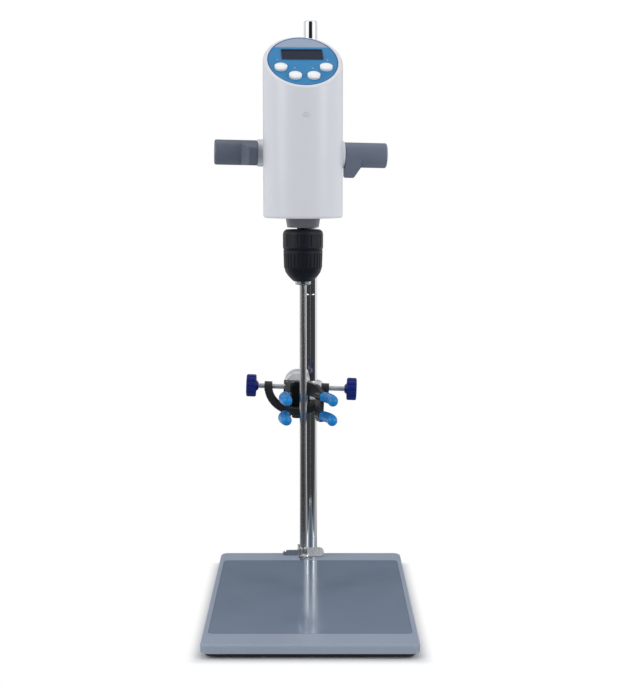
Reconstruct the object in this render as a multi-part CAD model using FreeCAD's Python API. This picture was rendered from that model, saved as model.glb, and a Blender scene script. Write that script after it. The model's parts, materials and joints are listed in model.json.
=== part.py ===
import FreeCAD, Part
import math
import os

# Overhead stirrer on a plate stand: motor head on a cross bar, keyless chuck, stirring shaft
# with propeller, and a four-finger vessel clamp on the same support rod. Millimetres.
# The origin is on the bench, under the middle of the whole object's outline. +Z is up and -Y is
# the front. The pieces are drawn from the middle of the stand's plate and shifted when saved.

ORIGIN_BEHIND_PLATE = 9.5

# Stand
PLATE_WIDTH = 200.0
PLATE_DEPTH = 300.0
PLATE_THICKNESS = 8.5
PLATE_TOP_Z = 14.0
PLATE_CORNER_R = 8.0
PLATE_EDGE_R = 2.0
PANEL_SIDE_MARGIN = 5.0
PANEL_END_MARGIN = 30.0
PANEL_WIDTH = PLATE_WIDTH - 2 * PANEL_SIDE_MARGIN
PANEL_DEPTH = PLATE_DEPTH - 2 * PANEL_END_MARGIN
PANEL_THICKNESS = 1.0
PANEL_CORNER_R = 5.0
PANEL_GAP = 0.25
PAN_INSET = 3.0
PAN_THICKNESS = 4.0
PAN_CHAMFER = 1.6
FOOT_R = 11.0
FOOT_HEIGHT = 3.5
FOOT_INSET = 24.0
FOOT_GAP = 0.25
PAN_SCREW_R = 1.5
PAN_SCREW_HEAD_R = 2.9
PAN_SCREW_LENGTH = 9.0
THREAD_GAP = 0.03

# Support rod
ROD_R = 7.0
ROD_INSET = 19.0
ROD_Y = PLATE_DEPTH / 2 - ROD_INSET
ROD_TOP_Z = 595.6
ROD_JOINT_Z = 307.0
ROD_SEAT_DEPTH = 1.5
ROD_SPIGOT_R = 4.0
ROD_SPIGOT_LENGTH = 20.0
ROD_EDGE = 0.5
ROD_TOP_CHAMFER = 1.6
ROD_STOP_LENGTH = 48.0
ROD_STOP_WIDTH = 1.2
ROD_STOP_DEPTH = 0.5
ROD_BOLT_R = 4.0
ROD_BOLT_HEAD_R = 7.9
ROD_BOLT_HEAD_HEIGHT = 4.2
ROD_BOLT_GRIP = 24.0
SLIDE_GAP = 0.08

# Cross clamp between rod and support bar
BAR_R = 7.0
BAR_Z = 456.0
BAR_OFFSET = 17.0
HEAD_REACH = 110.0
HEAD_SWING = 5.0
BAR_TAIL = 37.0
CROSS_CLAMP_WALL = 6.5
CROSS_CLAMP_HEIGHT = 40.0
CROSS_SCREW_R = 4.0
CROSS_BOSS_R = 8.0
CROSS_BOSS_LENGTH = 20.0
CROSS_KNOB_R = 9.3
CROSS_KNOB_LENGTH = 13.0
CROSS_KNOB_GAP = 4.0

# Motor head housing
BODY_R = 39.25
BODY_WALL = 2.5
BODY_BOTTOM_Z = 393.2
BODY_FLOOR = 3.5
BODY_BOTTOM_FILLET = 2.5
BODY_TOP_FILLET = 1.8
SLANT_ANGLE = 35.2
SLANT_CENTRE_Z = 546.0
OVERLAY_HALF_WIDTH = 34.7
OVERLAY_HALF_DEPTH = 36.4
OVERLAY_THICKNESS = 0.6
OVERLAY_SINK = 0.3
LID_THICKNESS = 3.0
LID_GAP = 0.15
LEDGE_WIDTH = 1.8
LEDGE_THICKNESS = 2.2
LID_SCREW_R = 1.25
LID_SCREW_HEAD_R = 2.2
LID_SCREW_LENGTH = 8.0
LID_BOSS_R = 3.2
LID_BOSS_LENGTH = 9.0
LID_SCREW_PLACES = ((0.0, 39.0), (-30.6, -2.0), (30.6, -2.0))
WINDOW_WIDTH = 40.0
WINDOW_HEIGHT = 18.0
WINDOW_V = 11.8
WINDOW_BORDER = 2.0
BUTTON_R = 6.2
BUTTON_RISE = 3.8
BUTTON_RIM = 2.1
BUTTON_GAP = 0.3
BUTTON_FLANGE = 1.3
BUTTON_FLANGE_THICKNESS = 1.0
BUTTON_TRAVEL = 1.2
BUTTON_STEM_R = 1.8
BUTTON_STEM_LENGTH = 1.5
BUTTON_PLACES = {
    "button_outer_left": (-22.2, -13.0),
    "button_inner_left": (-9.0, -28.2),
    "button_inner_right": (8.8, -28.2),
    "button_outer_right": (22.0, -12.8),
}
BOARD_HALF_WIDTH = 26.0
BOARD_BACK_V = 20.0
BOARD_FRONT_V = -37.0
BOARD_THICKNESS = 1.6
SWITCH_SIZE = 6.0
SWITCH_HEIGHT = 3.2
POST_R = 2.0
POST_PLACES = ((0.0, -14.0), (-23.6, 3.0), (23.6, 3.0))
PLUG_R = 3.0
PLUG_Z = 493.0
PLUG_PROUD = 0.5

# Cross boss that grips the support bar, with one knob at each end
BOSS_R = 13.5
BOSS_BACK = 27.0
BOSS_HALF_LENGTH = 44.0
BOSS_ROLL = 1.2
BAR_SOCKET_FLOOR = 7.0
KNOB_R = 12.5
KNOB_LENGTH = 42.3
KNOB_GAP = 0.5
KNOB_WALL = 2.0
KNOB_HOLLOW_DEPTH = 34.0
KNOB_HUB_R = 6.5
KNOB_HUB_SINK = 4.0
KNOB_EDGE_R = 2.0
LOBE_REACH = 23.0
LOBE_TIP_LENGTH = 8.6
LOBE_SLOPE_LENGTH = 7.0
LOBE_HALF_WIDTH = 9.0
LEFT_LOBE_ANGLE = -9.0
RIGHT_LOBE_ANGLE = -90.0
KNOB_SCREW_R = 4.0

# Power inlet at the rear
INLET_R = 5.5
INLET_Z = 414.0
INLET_LENGTH = 11.0
INLET_BORE_R = 2.8
INLET_PIN_R = 0.9
INLET_PROUD = 1.0

# Bearing housing and drive train
COLLAR_TOP_R = 16.9
COLLAR_BOTTOM_R = 15.65
COLLAR_BOTTOM_Z = 383.5
HOUSING_R = 15.0
HOUSING_TOP_Z = 425.0
HOUSING_NUT_R = 21.0
HOUSING_NUT_HEIGHT = 4.5
BEARING_R = 11.0
BEARING_WIDTH = 7.0
BEARING_LIP = 2.0
BEARING_SEAT_Z = 386.5
UPPER_BEARING_Z = 417.0
SPINDLE_R = 4.0
SPINDLE_NECK_R = 6.0
SPINDLE_TOP_Z = 450.0
BEARING_GAP = 0.04
COUPLING_R = 9.0
COUPLING_BOTTOM_Z = 438.0
COUPLING_TOP_Z = 464.0
MOTOR_SHAFT_R = 2.5
MOTOR_SHAFT_BOTTOM_Z = 452.0
MOTOR_PLATE_THICKNESS = 1.7
MOTOR_R = 18.0
MOTOR_WALL = 1.6
MOTOR_LENGTH = 40.0
ROTOR_R = 14.5
ROTOR_LENGTH = 28.0
MOTOR_END = 3.0

# Keyless chuck
CHUCK_TOP_Z = 381.3
CHUCK_RING_R = 20.0
CHUCK_RING_BOTTOM_Z = 361.8
CHUCK_GROOVE = 0.4
CHUCK_CORE_R = 13.0
CHUCK_CORE_TOP_Z = 379.0
CHUCK_CORE_BOTTOM_Z = 326.5
CHUCK_NOSE_R = 7.9
CHUCK_SPINDLE_SINK = 18.0
SLEEVE_TOP_R = 19.5
SLEEVE_BOTTOM_R = 19.0
SLEEVE_CONE_TOP_Z = 344.3
SLEEVE_CURVE = ((17.4, 339.1), (14.8, 335.2), (11.0, 331.3))
SLEEVE_NOSE_R = 9.4
SLEEVE_BOTTOM_Z = 330.0
SLEEVE_GAP = 0.08
SLEEVE_RIB_COUNT = 30
SLEEVE_RIB_R = 0.75
RING_FLUTE_COUNT = 10
RING_FLUTE_R = 2.2
RING_FLUTE_DEPTH = 0.7
JAW_COUNT = 3
JAW_R = 2.2
JAW_TILT = 10.0
JAW_START_R = 4.2
JAW_LENGTH = 21.0
JAW_TRAVEL = 3.0
JAW_GAP = 0.06

# Stirring shaft and propeller
SHAFT_R = 3.5
SHAFT_BOTTOM_Z = 47.0
SHAFT_TOP_Z = 358.0
SHAFT_GAP = 0.3
PROPELLER_R = 21.0
PROPELLER_HUB_R = 6.0
PROPELLER_HUB_HEIGHT = 11.0
PROPELLER_BLADES = 4
BLADE_WIDTH = 11.0
BLADE_THICKNESS = 1.4
BLADE_PITCH = 40.0

# Vessel clamp
CLAMP_OFFSET = -14.5
CLAMP_Z = 209.5
CLAMP_ROLL = 2.1
CLAMP_BARREL_R = 13.0
CLAMP_BARREL_LOW_Z = 193.5
CLAMP_BARREL_HIGH_Z = 212.0
CLAMP_ARM_R = 5.5
CLAMP_ARM_TAIL = 34.0
CLAMP_SOCKET_R = 14.0
CLAMP_SOCKET_HALF_LENGTH = 13.0
CLAMP_SCREW_R = 4.0
CLAMP_SCREW_Z = 203.0
CLAMP_BOSS_R = 7.5
CLAMP_BOSS_LENGTH = 22.0
CLAMP_KNOB_R = 9.0
CLAMP_KNOB_LENGTH = 12.0
CLAMP_KNOB_GAP = 4.0
ARM_KNOB_R = 6.3
HUB_HALF_WIDTH = 14.0
HUB_DISTANCE = 30.0
HUB_DEPTH = 12.0
HUB_BACK_Y = ROD_Y - HUB_DISTANCE
HUB_FRONT_Y = HUB_BACK_Y - HUB_DEPTH
HUB_BOTTOM_Z = 186.0
HUB_TOP_Z = 217.6
HUB_EDGE_R = 2.0
ARM_GRIP = 9.0
EAR_THICKNESS = 3.6
EAR_R = 5.6
PIVOT_REACH = 5.0
PIVOT_Y = HUB_FRONT_Y - PIVOT_REACH
PIVOT_HALF_SPACING = 8.0
PIVOT_R = 2.0
PIVOT_HEAD_R = 3.2
PIVOT_HEAD_HEIGHT = 1.2
PIVOT_GAP = 0.05
PART_GAP = 0.3
SCREW_REACH = 20.5
SCREW_Y = PIVOT_Y - SCREW_REACH
SCREW_Z = 216.0
YOKE_INNER_R = 25.5
YOKE_INNER_DROP = 21.5
YOKE_WALL = 8.0
YOKE_DEPTH = 10.0
YOKE_WEB_HALF_WIDTH = 8.0
JAW_BARREL_R = 4.0
JAW_PLATE_HALF = 2.0
JAW_NECK_BOTTOM_Z = 206.5
JAW_NECK_TOP_Z = 220.0
JAW_PALM_START = 31.0
JAW_PALM_END = 44.0
JAW_PALM_BOTTOM_Z = 183.5
JAW_PALM_TOP_Z = 215.0
JAW_CORNER = 4.0
FINGER_Z = (189.5, 209.5)
FINGER_WIRE_R = 2.6
FINGER_R = 5.3
FINGER_END = 70.0
FINGER_BOW = 3.0
FINGER_HOOK = 1.0
FINGER_ROOT = 6.0
LEFT_JAW_ANGLE = 1.5
RIGHT_JAW_ANGLE = 25.5
ADJUST_SCREW_R = 2.5
ADJUST_SCREW_LENGTH = 31.4
ADJUST_SCREW_SINK = 8.0
ADJUST_KNOB_R = 11.6
ADJUST_KNOB_LENGTH = 10.0
ADJUST_KNOB_LOBES = 12
ADJUST_SCALLOP_R = 1.9
ADJUST_CONE_LENGTH = 2.4
ADJUST_CONE_R = 6.5

FAR = 400.0


def vec(point):
    return FreeCAD.Vector(*point)


def cylinder(radius, start, end):
    axis = vec(end) - vec(start)
    return Part.makeCylinder(radius, axis.Length, vec(start), axis)


def block(x_range, y_range, z_range):
    low = FreeCAD.Vector(x_range[0], y_range[0], z_range[0])
    return Part.makeBox(x_range[1] - x_range[0], y_range[1] - y_range[0], z_range[1] - z_range[0], low)


def face_of(points):
    closed = [vec(point) for point in points]
    closed.append(closed[0])
    return Part.Face(Part.makePolygon(closed))


def turned(profile):
    """Solid of revolution about Z from a closed profile of (radius, height) points."""
    face = face_of([(radius, 0.0, height) for radius, height in profile])
    return face.revolve(FreeCAD.Vector(0, 0, 0), FreeCAD.Vector(0, 0, 1), 360)


def aligned(shape, origin, direction):
    """The shape with its own Z axis laid along direction and its origin moved to origin."""
    turn = FreeCAD.Rotation(FreeCAD.Vector(0, 0, 1), vec(direction))
    placed = shape.copy()
    placed.Placement = FreeCAD.Placement(vec(origin), turn)
    return placed


def moved(shape, offset):
    placed = shape.copy()
    placed.translate(vec(offset))
    return placed


def turned_about(shape, centre, axis, angle):
    placed = shape.copy()
    placed.rotate(vec(centre), vec(axis), angle)
    return placed


def fused(shapes):
    result = shapes[0]
    if len(shapes) > 1:
        result = shapes[0].multiFuse(shapes[1:])
    return result.removeSplitter()


def edges_at(shape, test):
    return [edge for edge in shape.Edges if test(edge)]


def rounded_slab(width, depth, z_range, corner_r):
    slab = block((-width / 2, width / 2), (-depth / 2, depth / 2), z_range)
    upright = edges_at(slab, lambda edge: edge.BoundBox.ZLength > (z_range[1] - z_range[0]) / 2)
    return slab.makeFillet(corner_r, upright)


def edges_in_plane(shape, z):
    return edges_at(shape, lambda edge: edge.BoundBox.ZLength < 0.001 and abs(edge.BoundBox.ZMin - z) < 0.001)


def lobed_knob(radius, length, lobes, scallop_r, edge):
    """Round knob along Z from 0 to length, with scallops round its rim."""
    knob = cylinder(radius, (0, 0, 0), (0, 0, length))
    knob = knob.makeChamfer(edge, edges_in_plane(knob, 0.0) + edges_in_plane(knob, length))
    cuts = []
    for index in range(lobes):
        angle = 2 * math.pi * index / lobes
        x = (radius + scallop_r * 0.5) * math.cos(angle)
        y = (radius + scallop_r * 0.5) * math.sin(angle)
        cuts.append(cylinder(scallop_r, (x, y, -1), (x, y, length + 1)))
    return knob.cut(cuts)


def thumb_screw(tip, direction, radius, reach, knob_r, knob_length):
    """Clamping screw with its knob moulded on. It points back along direction from its tip."""
    screw = cylinder(radius, (0, 0, 0), (0, 0, reach + knob_length / 2))
    screw = screw.makeChamfer(radius * 0.3, edges_in_plane(screw, 0.0))
    knob = moved(lobed_knob(knob_r, knob_length, 6, knob_r * 0.32, 1.0), (0, 0, reach))
    return aligned(fused([screw, knob]), tip, direction)


def save(name, shape):
    placed = moved(shape, (0, -ORIGIN_BEHIND_PLATE, 0))
    placed.exportStep(os.path.join("parts", name + ".step"))


# Stand


def foot_places():
    x = PLATE_WIDTH / 2 - FOOT_INSET
    y = PLATE_DEPTH / 2 - FOOT_INSET
    return [(side * x, end * y) for side in (-1, 1) for end in (-1, 1)]


def pan_screw_places():
    x = PLATE_WIDTH / 2 - FOOT_INSET / 2
    return [(side * x, y) for side in (-1, 1) for y in (-PLATE_DEPTH / 4, 0.0, PLATE_DEPTH / 4)]


def plate_bottom_z():
    return PLATE_TOP_Z - PLATE_THICKNESS


def pan_bottom_z():
    return plate_bottom_z() - PAN_THICKNESS


def pan_screw(grow):
    head = PAN_SCREW_HEAD_R + grow
    shank = PAN_SCREW_R + grow
    rise = PAN_SCREW_HEAD_R - PAN_SCREW_R
    profile = [(0, 0), (head, 0), (shank, rise), (shank, PAN_SCREW_LENGTH + grow),
               (0, PAN_SCREW_LENGTH + grow)]
    return moved(turned(profile), (0, 0, pan_bottom_z()))


def rod_bolt(grow):
    head = ROD_BOLT_HEAD_R + grow
    shank = ROD_BOLT_R + grow
    top = ROD_BOLT_HEAD_HEIGHT + ROD_BOLT_GRIP + grow
    profile = [(0, 0), (head, 0), (shank, ROD_BOLT_HEAD_HEIGHT), (shank, top), (0, top)]
    return moved(turned(profile), (0, ROD_Y, plate_bottom_z()))


def base_plate():
    plate = rounded_slab(PLATE_WIDTH, PLATE_DEPTH, (plate_bottom_z(), PLATE_TOP_Z), PLATE_CORNER_R)
    plate = plate.makeFillet(PLATE_EDGE_R, edges_in_plane(plate, PLATE_TOP_Z))
    floor_z = PLATE_TOP_Z - PANEL_THICKNESS
    recess = rounded_slab(PANEL_WIDTH, PANEL_DEPTH, (floor_z, PLATE_TOP_Z + 1), PANEL_CORNER_R)
    seat = cylinder(ROD_R + THREAD_GAP, (0, ROD_Y, PLATE_TOP_Z - ROD_SEAT_DEPTH), (0, ROD_Y, PLATE_TOP_Z + 1))
    holes = [moved(pan_screw(THREAD_GAP), (x, y, 0)) for x, y in pan_screw_places()]
    return plate.cut([recess, seat, rod_bolt(THREAD_GAP)] + holes)


def base_panel():
    width = PANEL_WIDTH - 2 * PANEL_GAP
    depth = PANEL_DEPTH - 2 * PANEL_GAP
    z_range = (PLATE_TOP_Z - PANEL_THICKNESS, PLATE_TOP_Z)
    return rounded_slab(width, depth, z_range, PANEL_CORNER_R - PANEL_GAP)


def base_pan():
    low = pan_bottom_z()
    pan = rounded_slab(PLATE_WIDTH - 2 * PAN_INSET, PLATE_DEPTH - 2 * PAN_INSET,
                       (low, plate_bottom_z()), PLATE_CORNER_R)
    pan = pan.makeChamfer(PAN_CHAMFER, edges_in_plane(pan, low))
    cuts = [cylinder(FOOT_R + FOOT_GAP, (x, y, low - 1), (x, y, FOOT_HEIGHT)) for x, y in foot_places()]
    cuts += [moved(pan_screw(THREAD_GAP), (x, y, 0)) for x, y in pan_screw_places()]
    cuts.append(cylinder(ROD_BOLT_HEAD_R + 1, (0, ROD_Y, low - 1), (0, ROD_Y, plate_bottom_z() + 1)))
    return pan.cut(cuts)


def base_feet():
    edge = FOOT_R * 0.1
    foot = turned([(0, 0), (FOOT_R - edge, 0), (FOOT_R, edge), (FOOT_R, FOOT_HEIGHT), (0, FOOT_HEIGHT)])
    return Part.makeCompound([moved(foot, (x, y, 0)) for x, y in foot_places()])


def socket_cut(across, depth, origin, direction):
    """Hexagonal key socket, cut along direction from origin."""
    corners = [(across / math.sqrt(3) * math.cos(math.pi * k / 3),
                across / math.sqrt(3) * math.sin(math.pi * k / 3), 0.0) for k in range(6)]
    return aligned(face_of(corners).extrude(FreeCAD.Vector(0, 0, depth)), origin, direction)


def build_stand():
    save("base_plate", base_plate())
    save("base_panel", base_panel())
    save("base_pan", base_pan())
    save("base_feet", base_feet())
    save("pan_screws", Part.makeCompound([moved(pan_screw(0.0), (x, y, 0)) for x, y in pan_screw_places()]))
    key = socket_cut(5.0, 3.0, (0, ROD_Y, plate_bottom_z()), (0, 0, 1))
    save("rod_foot_bolt", rod_bolt(0.0).cut(key))


def build_rod():
    bottom_z = PLATE_TOP_Z - ROD_SEAT_DEPTH
    lower = cylinder(ROD_R, (0, ROD_Y, bottom_z), (0, ROD_Y, ROD_JOINT_Z))
    lower = lower.makeChamfer(ROD_EDGE, edges_in_plane(lower, ROD_JOINT_Z))
    spigot_z = ROD_JOINT_Z - ROD_SPIGOT_LENGTH
    spigot_hole = cylinder(ROD_SPIGOT_R + THREAD_GAP, (0, ROD_Y, spigot_z - 1), (0, ROD_Y, ROD_JOINT_Z + 1))
    save("rod_lower", lower.cut([rod_bolt(THREAD_GAP), spigot_hole]))
    upper = cylinder(ROD_R, (0, ROD_Y, ROD_JOINT_Z), (0, ROD_Y, ROD_TOP_Z))
    upper = upper.makeChamfer(ROD_EDGE, edges_in_plane(upper, ROD_JOINT_Z))
    upper = upper.makeFillet(ROD_TOP_CHAMFER, edges_in_plane(upper, ROD_TOP_Z))
    groove_top = ROD_TOP_Z - ROD_TOP_CHAMFER - ROD_STOP_LENGTH
    groove = cylinder(ROD_R + 1, (0, ROD_Y, groove_top - ROD_STOP_WIDTH), (0, ROD_Y, groove_top))
    core = cylinder(ROD_R - ROD_STOP_DEPTH, (0, ROD_Y, 0), (0, ROD_Y, FAR * 2))
    upper = upper.cut(groove.cut(core))
    spigot = cylinder(ROD_SPIGOT_R, (0, ROD_Y, spigot_z), (0, ROD_Y, ROD_JOINT_Z))
    save("rod_upper", fused([upper, spigot]))


# Cross clamp. It is made as if the head pointed straight ahead, then swung about the rod.


def swung(shape):
    return turned_about(shape, (0, ROD_Y, 0), (0, 0, 1), HEAD_SWING)


def build_cross_clamp():
    wall_r = ROD_R + CROSS_CLAMP_WALL
    half = CROSS_CLAMP_HEIGHT / 2
    rod_barrel = cylinder(wall_r, (0, ROD_Y, BAR_Z - half), (0, ROD_Y, BAR_Z + half))
    rod_barrel = rod_barrel.makeChamfer(1.5, edges_in_plane(rod_barrel, BAR_Z - half)
                                        + edges_in_plane(rod_barrel, BAR_Z + half))
    bar_barrel = cylinder(BAR_R + CROSS_CLAMP_WALL, (-BAR_OFFSET, ROD_Y - wall_r, BAR_Z),
                          (-BAR_OFFSET, ROD_Y + wall_r, BAR_Z))
    web = block((-BAR_OFFSET, 0), (ROD_Y - wall_r * 0.8, ROD_Y + wall_r * 0.8),
                (BAR_Z - wall_r, BAR_Z + wall_r))
    rod_boss_end = ROD_Y + CROSS_BOSS_LENGTH
    rod_boss = cylinder(CROSS_BOSS_R, (0, ROD_Y, BAR_Z), (0, rod_boss_end, BAR_Z))
    bar_boss_end = BAR_Z + CROSS_BOSS_LENGTH
    bar_boss = cylinder(CROSS_BOSS_R, (-BAR_OFFSET, ROD_Y, BAR_Z), (-BAR_OFFSET, ROD_Y, bar_boss_end))
    casting = fused([rod_barrel, bar_barrel, web, rod_boss, bar_boss])
    screw_hole = CROSS_SCREW_R + THREAD_GAP
    cuts = [
        cylinder(ROD_R + SLIDE_GAP, (0, ROD_Y, BAR_Z - FAR), (0, ROD_Y, BAR_Z + FAR)),
        cylinder(BAR_R + SLIDE_GAP, (-BAR_OFFSET, ROD_Y - FAR, BAR_Z), (-BAR_OFFSET, ROD_Y + FAR, BAR_Z)),
        cylinder(screw_hole, (0, ROD_Y, BAR_Z), (0, rod_boss_end + 1, BAR_Z)),
        cylinder(screw_hole, (-BAR_OFFSET, ROD_Y, BAR_Z), (-BAR_OFFSET, ROD_Y, bar_boss_end + 1)),
    ]
    save("cross_clamp_casting", swung(casting.cut(cuts)))
    rod_tip = ROD_R + PART_GAP
    reach = CROSS_BOSS_LENGTH - rod_tip + CROSS_KNOB_GAP
    rod_screw = thumb_screw((0, ROD_Y + rod_tip, BAR_Z), (0, 1, 0), CROSS_SCREW_R, reach,
                            CROSS_KNOB_R, CROSS_KNOB_LENGTH)
    save("cross_rod_screw", swung(rod_screw))
    bar_screw = thumb_screw((-BAR_OFFSET, ROD_Y, BAR_Z + BAR_R + PART_GAP), (0, 0, 1), CROSS_SCREW_R, reach,
                            CROSS_KNOB_R, CROSS_KNOB_LENGTH)
    save("cross_bar_screw", swung(bar_screw))
    front_y = ROD_Y - HEAD_REACH + BOSS_BACK - BAR_SOCKET_FLOOR
    bar = cylinder(BAR_R, (-BAR_OFFSET, front_y, BAR_Z), (-BAR_OFFSET, ROD_Y + BAR_TAIL, BAR_Z))
    bar = bar.makeChamfer(1.0, edges_at(bar, lambda edge: edge.BoundBox.YLength < 0.001))
    save("support_bar", swung(bar))


# Motor head. It is made about its own spindle axis, then set at the end of the bar.


def at_head(shape):
    return swung(moved(shape, (-BAR_OFFSET, ROD_Y - HEAD_REACH, 0)))


def boss_rolled(shape):
    return turned_about(shape, (0, 0, BAR_Z), (0, 1, 0), BOSS_ROLL)


def slant_point(u, v, height):
    """A point on the slanted panel: u across, v up the slope, height above the panel's plane."""
    angle = math.radians(SLANT_ANGLE)
    y = v * math.cos(angle) - height * math.sin(angle)
    z = SLANT_CENTRE_Z + v * math.sin(angle) + height * math.cos(angle)
    return (u, y, z)


def slant_normal():
    angle = math.radians(SLANT_ANGLE)
    return (0, -math.sin(angle), math.cos(angle))


def slant_slab(low, high, u_range=(-FAR, FAR), v_range=(-FAR, FAR)):
    """The space between two planes parallel to the slanted panel, at heights low and high."""
    slab = block(u_range, v_range, (low, high))
    slab = turned_about(slab, (0, 0, 0), (1, 0, 0), SLANT_ANGLE)
    return moved(slab, (0, 0, SLANT_CENTRE_Z))


def slant_cylinder(radius, place, low, high):
    return cylinder(radius, slant_point(place[0], place[1], low), slant_point(place[0], place[1], high))


def oval_column(grow):
    """Upright column with the panel's plan outline, made larger by grow."""
    half_depth = OVERLAY_HALF_DEPTH + grow
    half_width = OVERLAY_HALF_WIDTH + grow
    oval = Part.Ellipse(FreeCAD.Vector(0, half_depth, 0), FreeCAD.Vector(half_width, 0, 0),
                        FreeCAD.Vector(0, 0, 0))
    face = Part.Face(Part.Wire(oval.toShape()))
    return moved(face.extrude(FreeCAD.Vector(0, 0, FAR)), (0, 0, SLANT_CENTRE_Z - FAR / 2))


def overlay_top():
    return -OVERLAY_SINK


def overlay_bottom():
    return overlay_top() - OVERLAY_THICKNESS


def lid_bottom():
    return overlay_bottom() - LID_THICKNESS


def board_top():
    stack = BUTTON_GAP + BUTTON_FLANGE_THICKNESS + BUTTON_STEM_LENGTH + BUTTON_TRAVEL + BUTTON_GAP
    return lid_bottom() - stack - SWITCH_HEIGHT


def head_shell():
    outer = cylinder(BODY_R, (0, 0, BODY_BOTTOM_Z), (0, 0, SLANT_CENTRE_Z + 2 * BODY_R))
    outer = outer.cut(slant_slab(0, FAR))
    outer = outer.makeFillet(BODY_BOTTOM_FILLET, edges_in_plane(outer, BODY_BOTTOM_Z))
    rim = edges_at(outer, lambda edge: edge.BoundBox.ZMax > SLANT_CENTRE_Z + BODY_R / 2
                   and edge.BoundBox.XLength > BODY_R)
    outer = outer.makeFillet(BODY_TOP_FILLET, rim)
    ledge_top = lid_bottom() - LID_GAP
    ledge_bottom = ledge_top - LEDGE_THICKNESS
    inner_r = BODY_R - BODY_WALL
    cavity = cylinder(inner_r, (0, 0, BODY_BOTTOM_Z + BODY_FLOOR), (0, 0, SLANT_CENTRE_Z + 2 * BODY_R))
    cavity = cavity.cut(slant_slab(ledge_bottom, FAR))
    lid_pocket = oval_column(LID_GAP).common(slant_slab(ledge_top, FAR))
    ledge_hole = oval_column(-LEDGE_WIDTH).common(slant_slab(ledge_bottom - 1, FAR))
    shell = outer.cut([cavity, lid_pocket, ledge_hole])
    boss = cylinder(BOSS_R, (-BOSS_HALF_LENGTH, BOSS_BACK, BAR_Z), (BOSS_HALF_LENGTH, BOSS_BACK, BAR_Z))
    boss = boss.makeFillet(1.0, edges_at(boss, lambda edge: edge.BoundBox.XLength < 0.001))
    boss = boss_rolled(boss)
    inside = cylinder(inner_r + BODY_WALL / 2, (0, 0, BODY_BOTTOM_Z + 1), (0, 0, SLANT_CENTRE_Z + 2 * BODY_R))
    lid_bosses = []
    for place in LID_SCREW_PLACES:
        post = slant_cylinder(LID_BOSS_R, place, ledge_top - LID_BOSS_LENGTH, ledge_top)
        lid_bosses.append(post.common(inside))
    shell = fused([shell, boss] + lid_bosses)
    cuts = [lid_screw(place, THREAD_GAP) for place in LID_SCREW_PLACES]
    cuts.append(cylinder(BAR_R + THREAD_GAP, (0, BOSS_BACK - BAR_SOCKET_FLOOR, BAR_Z), (0, FAR, BAR_Z)))
    screw_hole = cylinder(KNOB_SCREW_R + THREAD_GAP, (-FAR, BOSS_BACK, BAR_Z), (FAR, BOSS_BACK, BAR_Z))
    cuts.append(boss_rolled(screw_hole))
    floor_top = BODY_BOTTOM_Z + BODY_FLOOR
    cuts.append(cylinder(HOUSING_R + THREAD_GAP, (0, 0, BODY_BOTTOM_Z - 1), (0, 0, floor_top + 1)))
    cuts.append(cylinder(PLUG_R + THREAD_GAP, (0, -FAR, PLUG_Z), (0, 0, PLUG_Z)))
    cuts.append(cylinder(INLET_R + THREAD_GAP, (0, 0, INLET_Z), (0, FAR, INLET_Z)))
    return shell.cut(cuts)


def lid_screw(place, grow):
    top = overlay_bottom()
    head_height = LID_SCREW_HEAD_R - LID_SCREW_R
    profile = [(0, 0), (LID_SCREW_HEAD_R + grow, 0), (LID_SCREW_R + grow, -head_height),
               (LID_SCREW_R + grow, -LID_SCREW_LENGTH - grow), (0, -LID_SCREW_LENGTH - grow)]
    return aligned(turned(profile), slant_point(place[0], place[1], top), slant_normal())


def window_slab(border, low, high):
    u = WINDOW_WIDTH / 2 + border
    v = WINDOW_HEIGHT / 2 + border
    return slant_slab(low, high, (-u, u), (WINDOW_V - v, WINDOW_V + v))


def button(place):
    shoulder = overlay_top() + BUTTON_RIM
    crown = overlay_top() + BUTTON_RISE
    rise = crown - shoulder
    dome_r = (BUTTON_R ** 2 + rise ** 2) / (2 * rise)
    low = lid_bottom() - BUTTON_GAP
    cap = cylinder(BUTTON_R, (0, 0, low), (0, 0, crown))
    dome = Part.makeSphere(dome_r, FreeCAD.Vector(0, 0, crown - dome_r))
    cap = cap.common(dome.fuse(cylinder(FAR, (0, 0, -FAR), (0, 0, shoulder))))
    flange_low = low - BUTTON_FLANGE_THICKNESS
    flange = cylinder(BUTTON_R + BUTTON_FLANGE, (0, 0, flange_low), (0, 0, low))
    stem = cylinder(BUTTON_STEM_R, (0, 0, flange_low - BUTTON_STEM_LENGTH), (0, 0, flange_low))
    whole = fused([cap, flange, stem])
    return aligned(whole, slant_point(place[0], place[1], 0), slant_normal())


def button_holes(grow, low, high):
    return [slant_cylinder(BUTTON_R + grow, place, low, high) for place in BUTTON_PLACES.values()]


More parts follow.
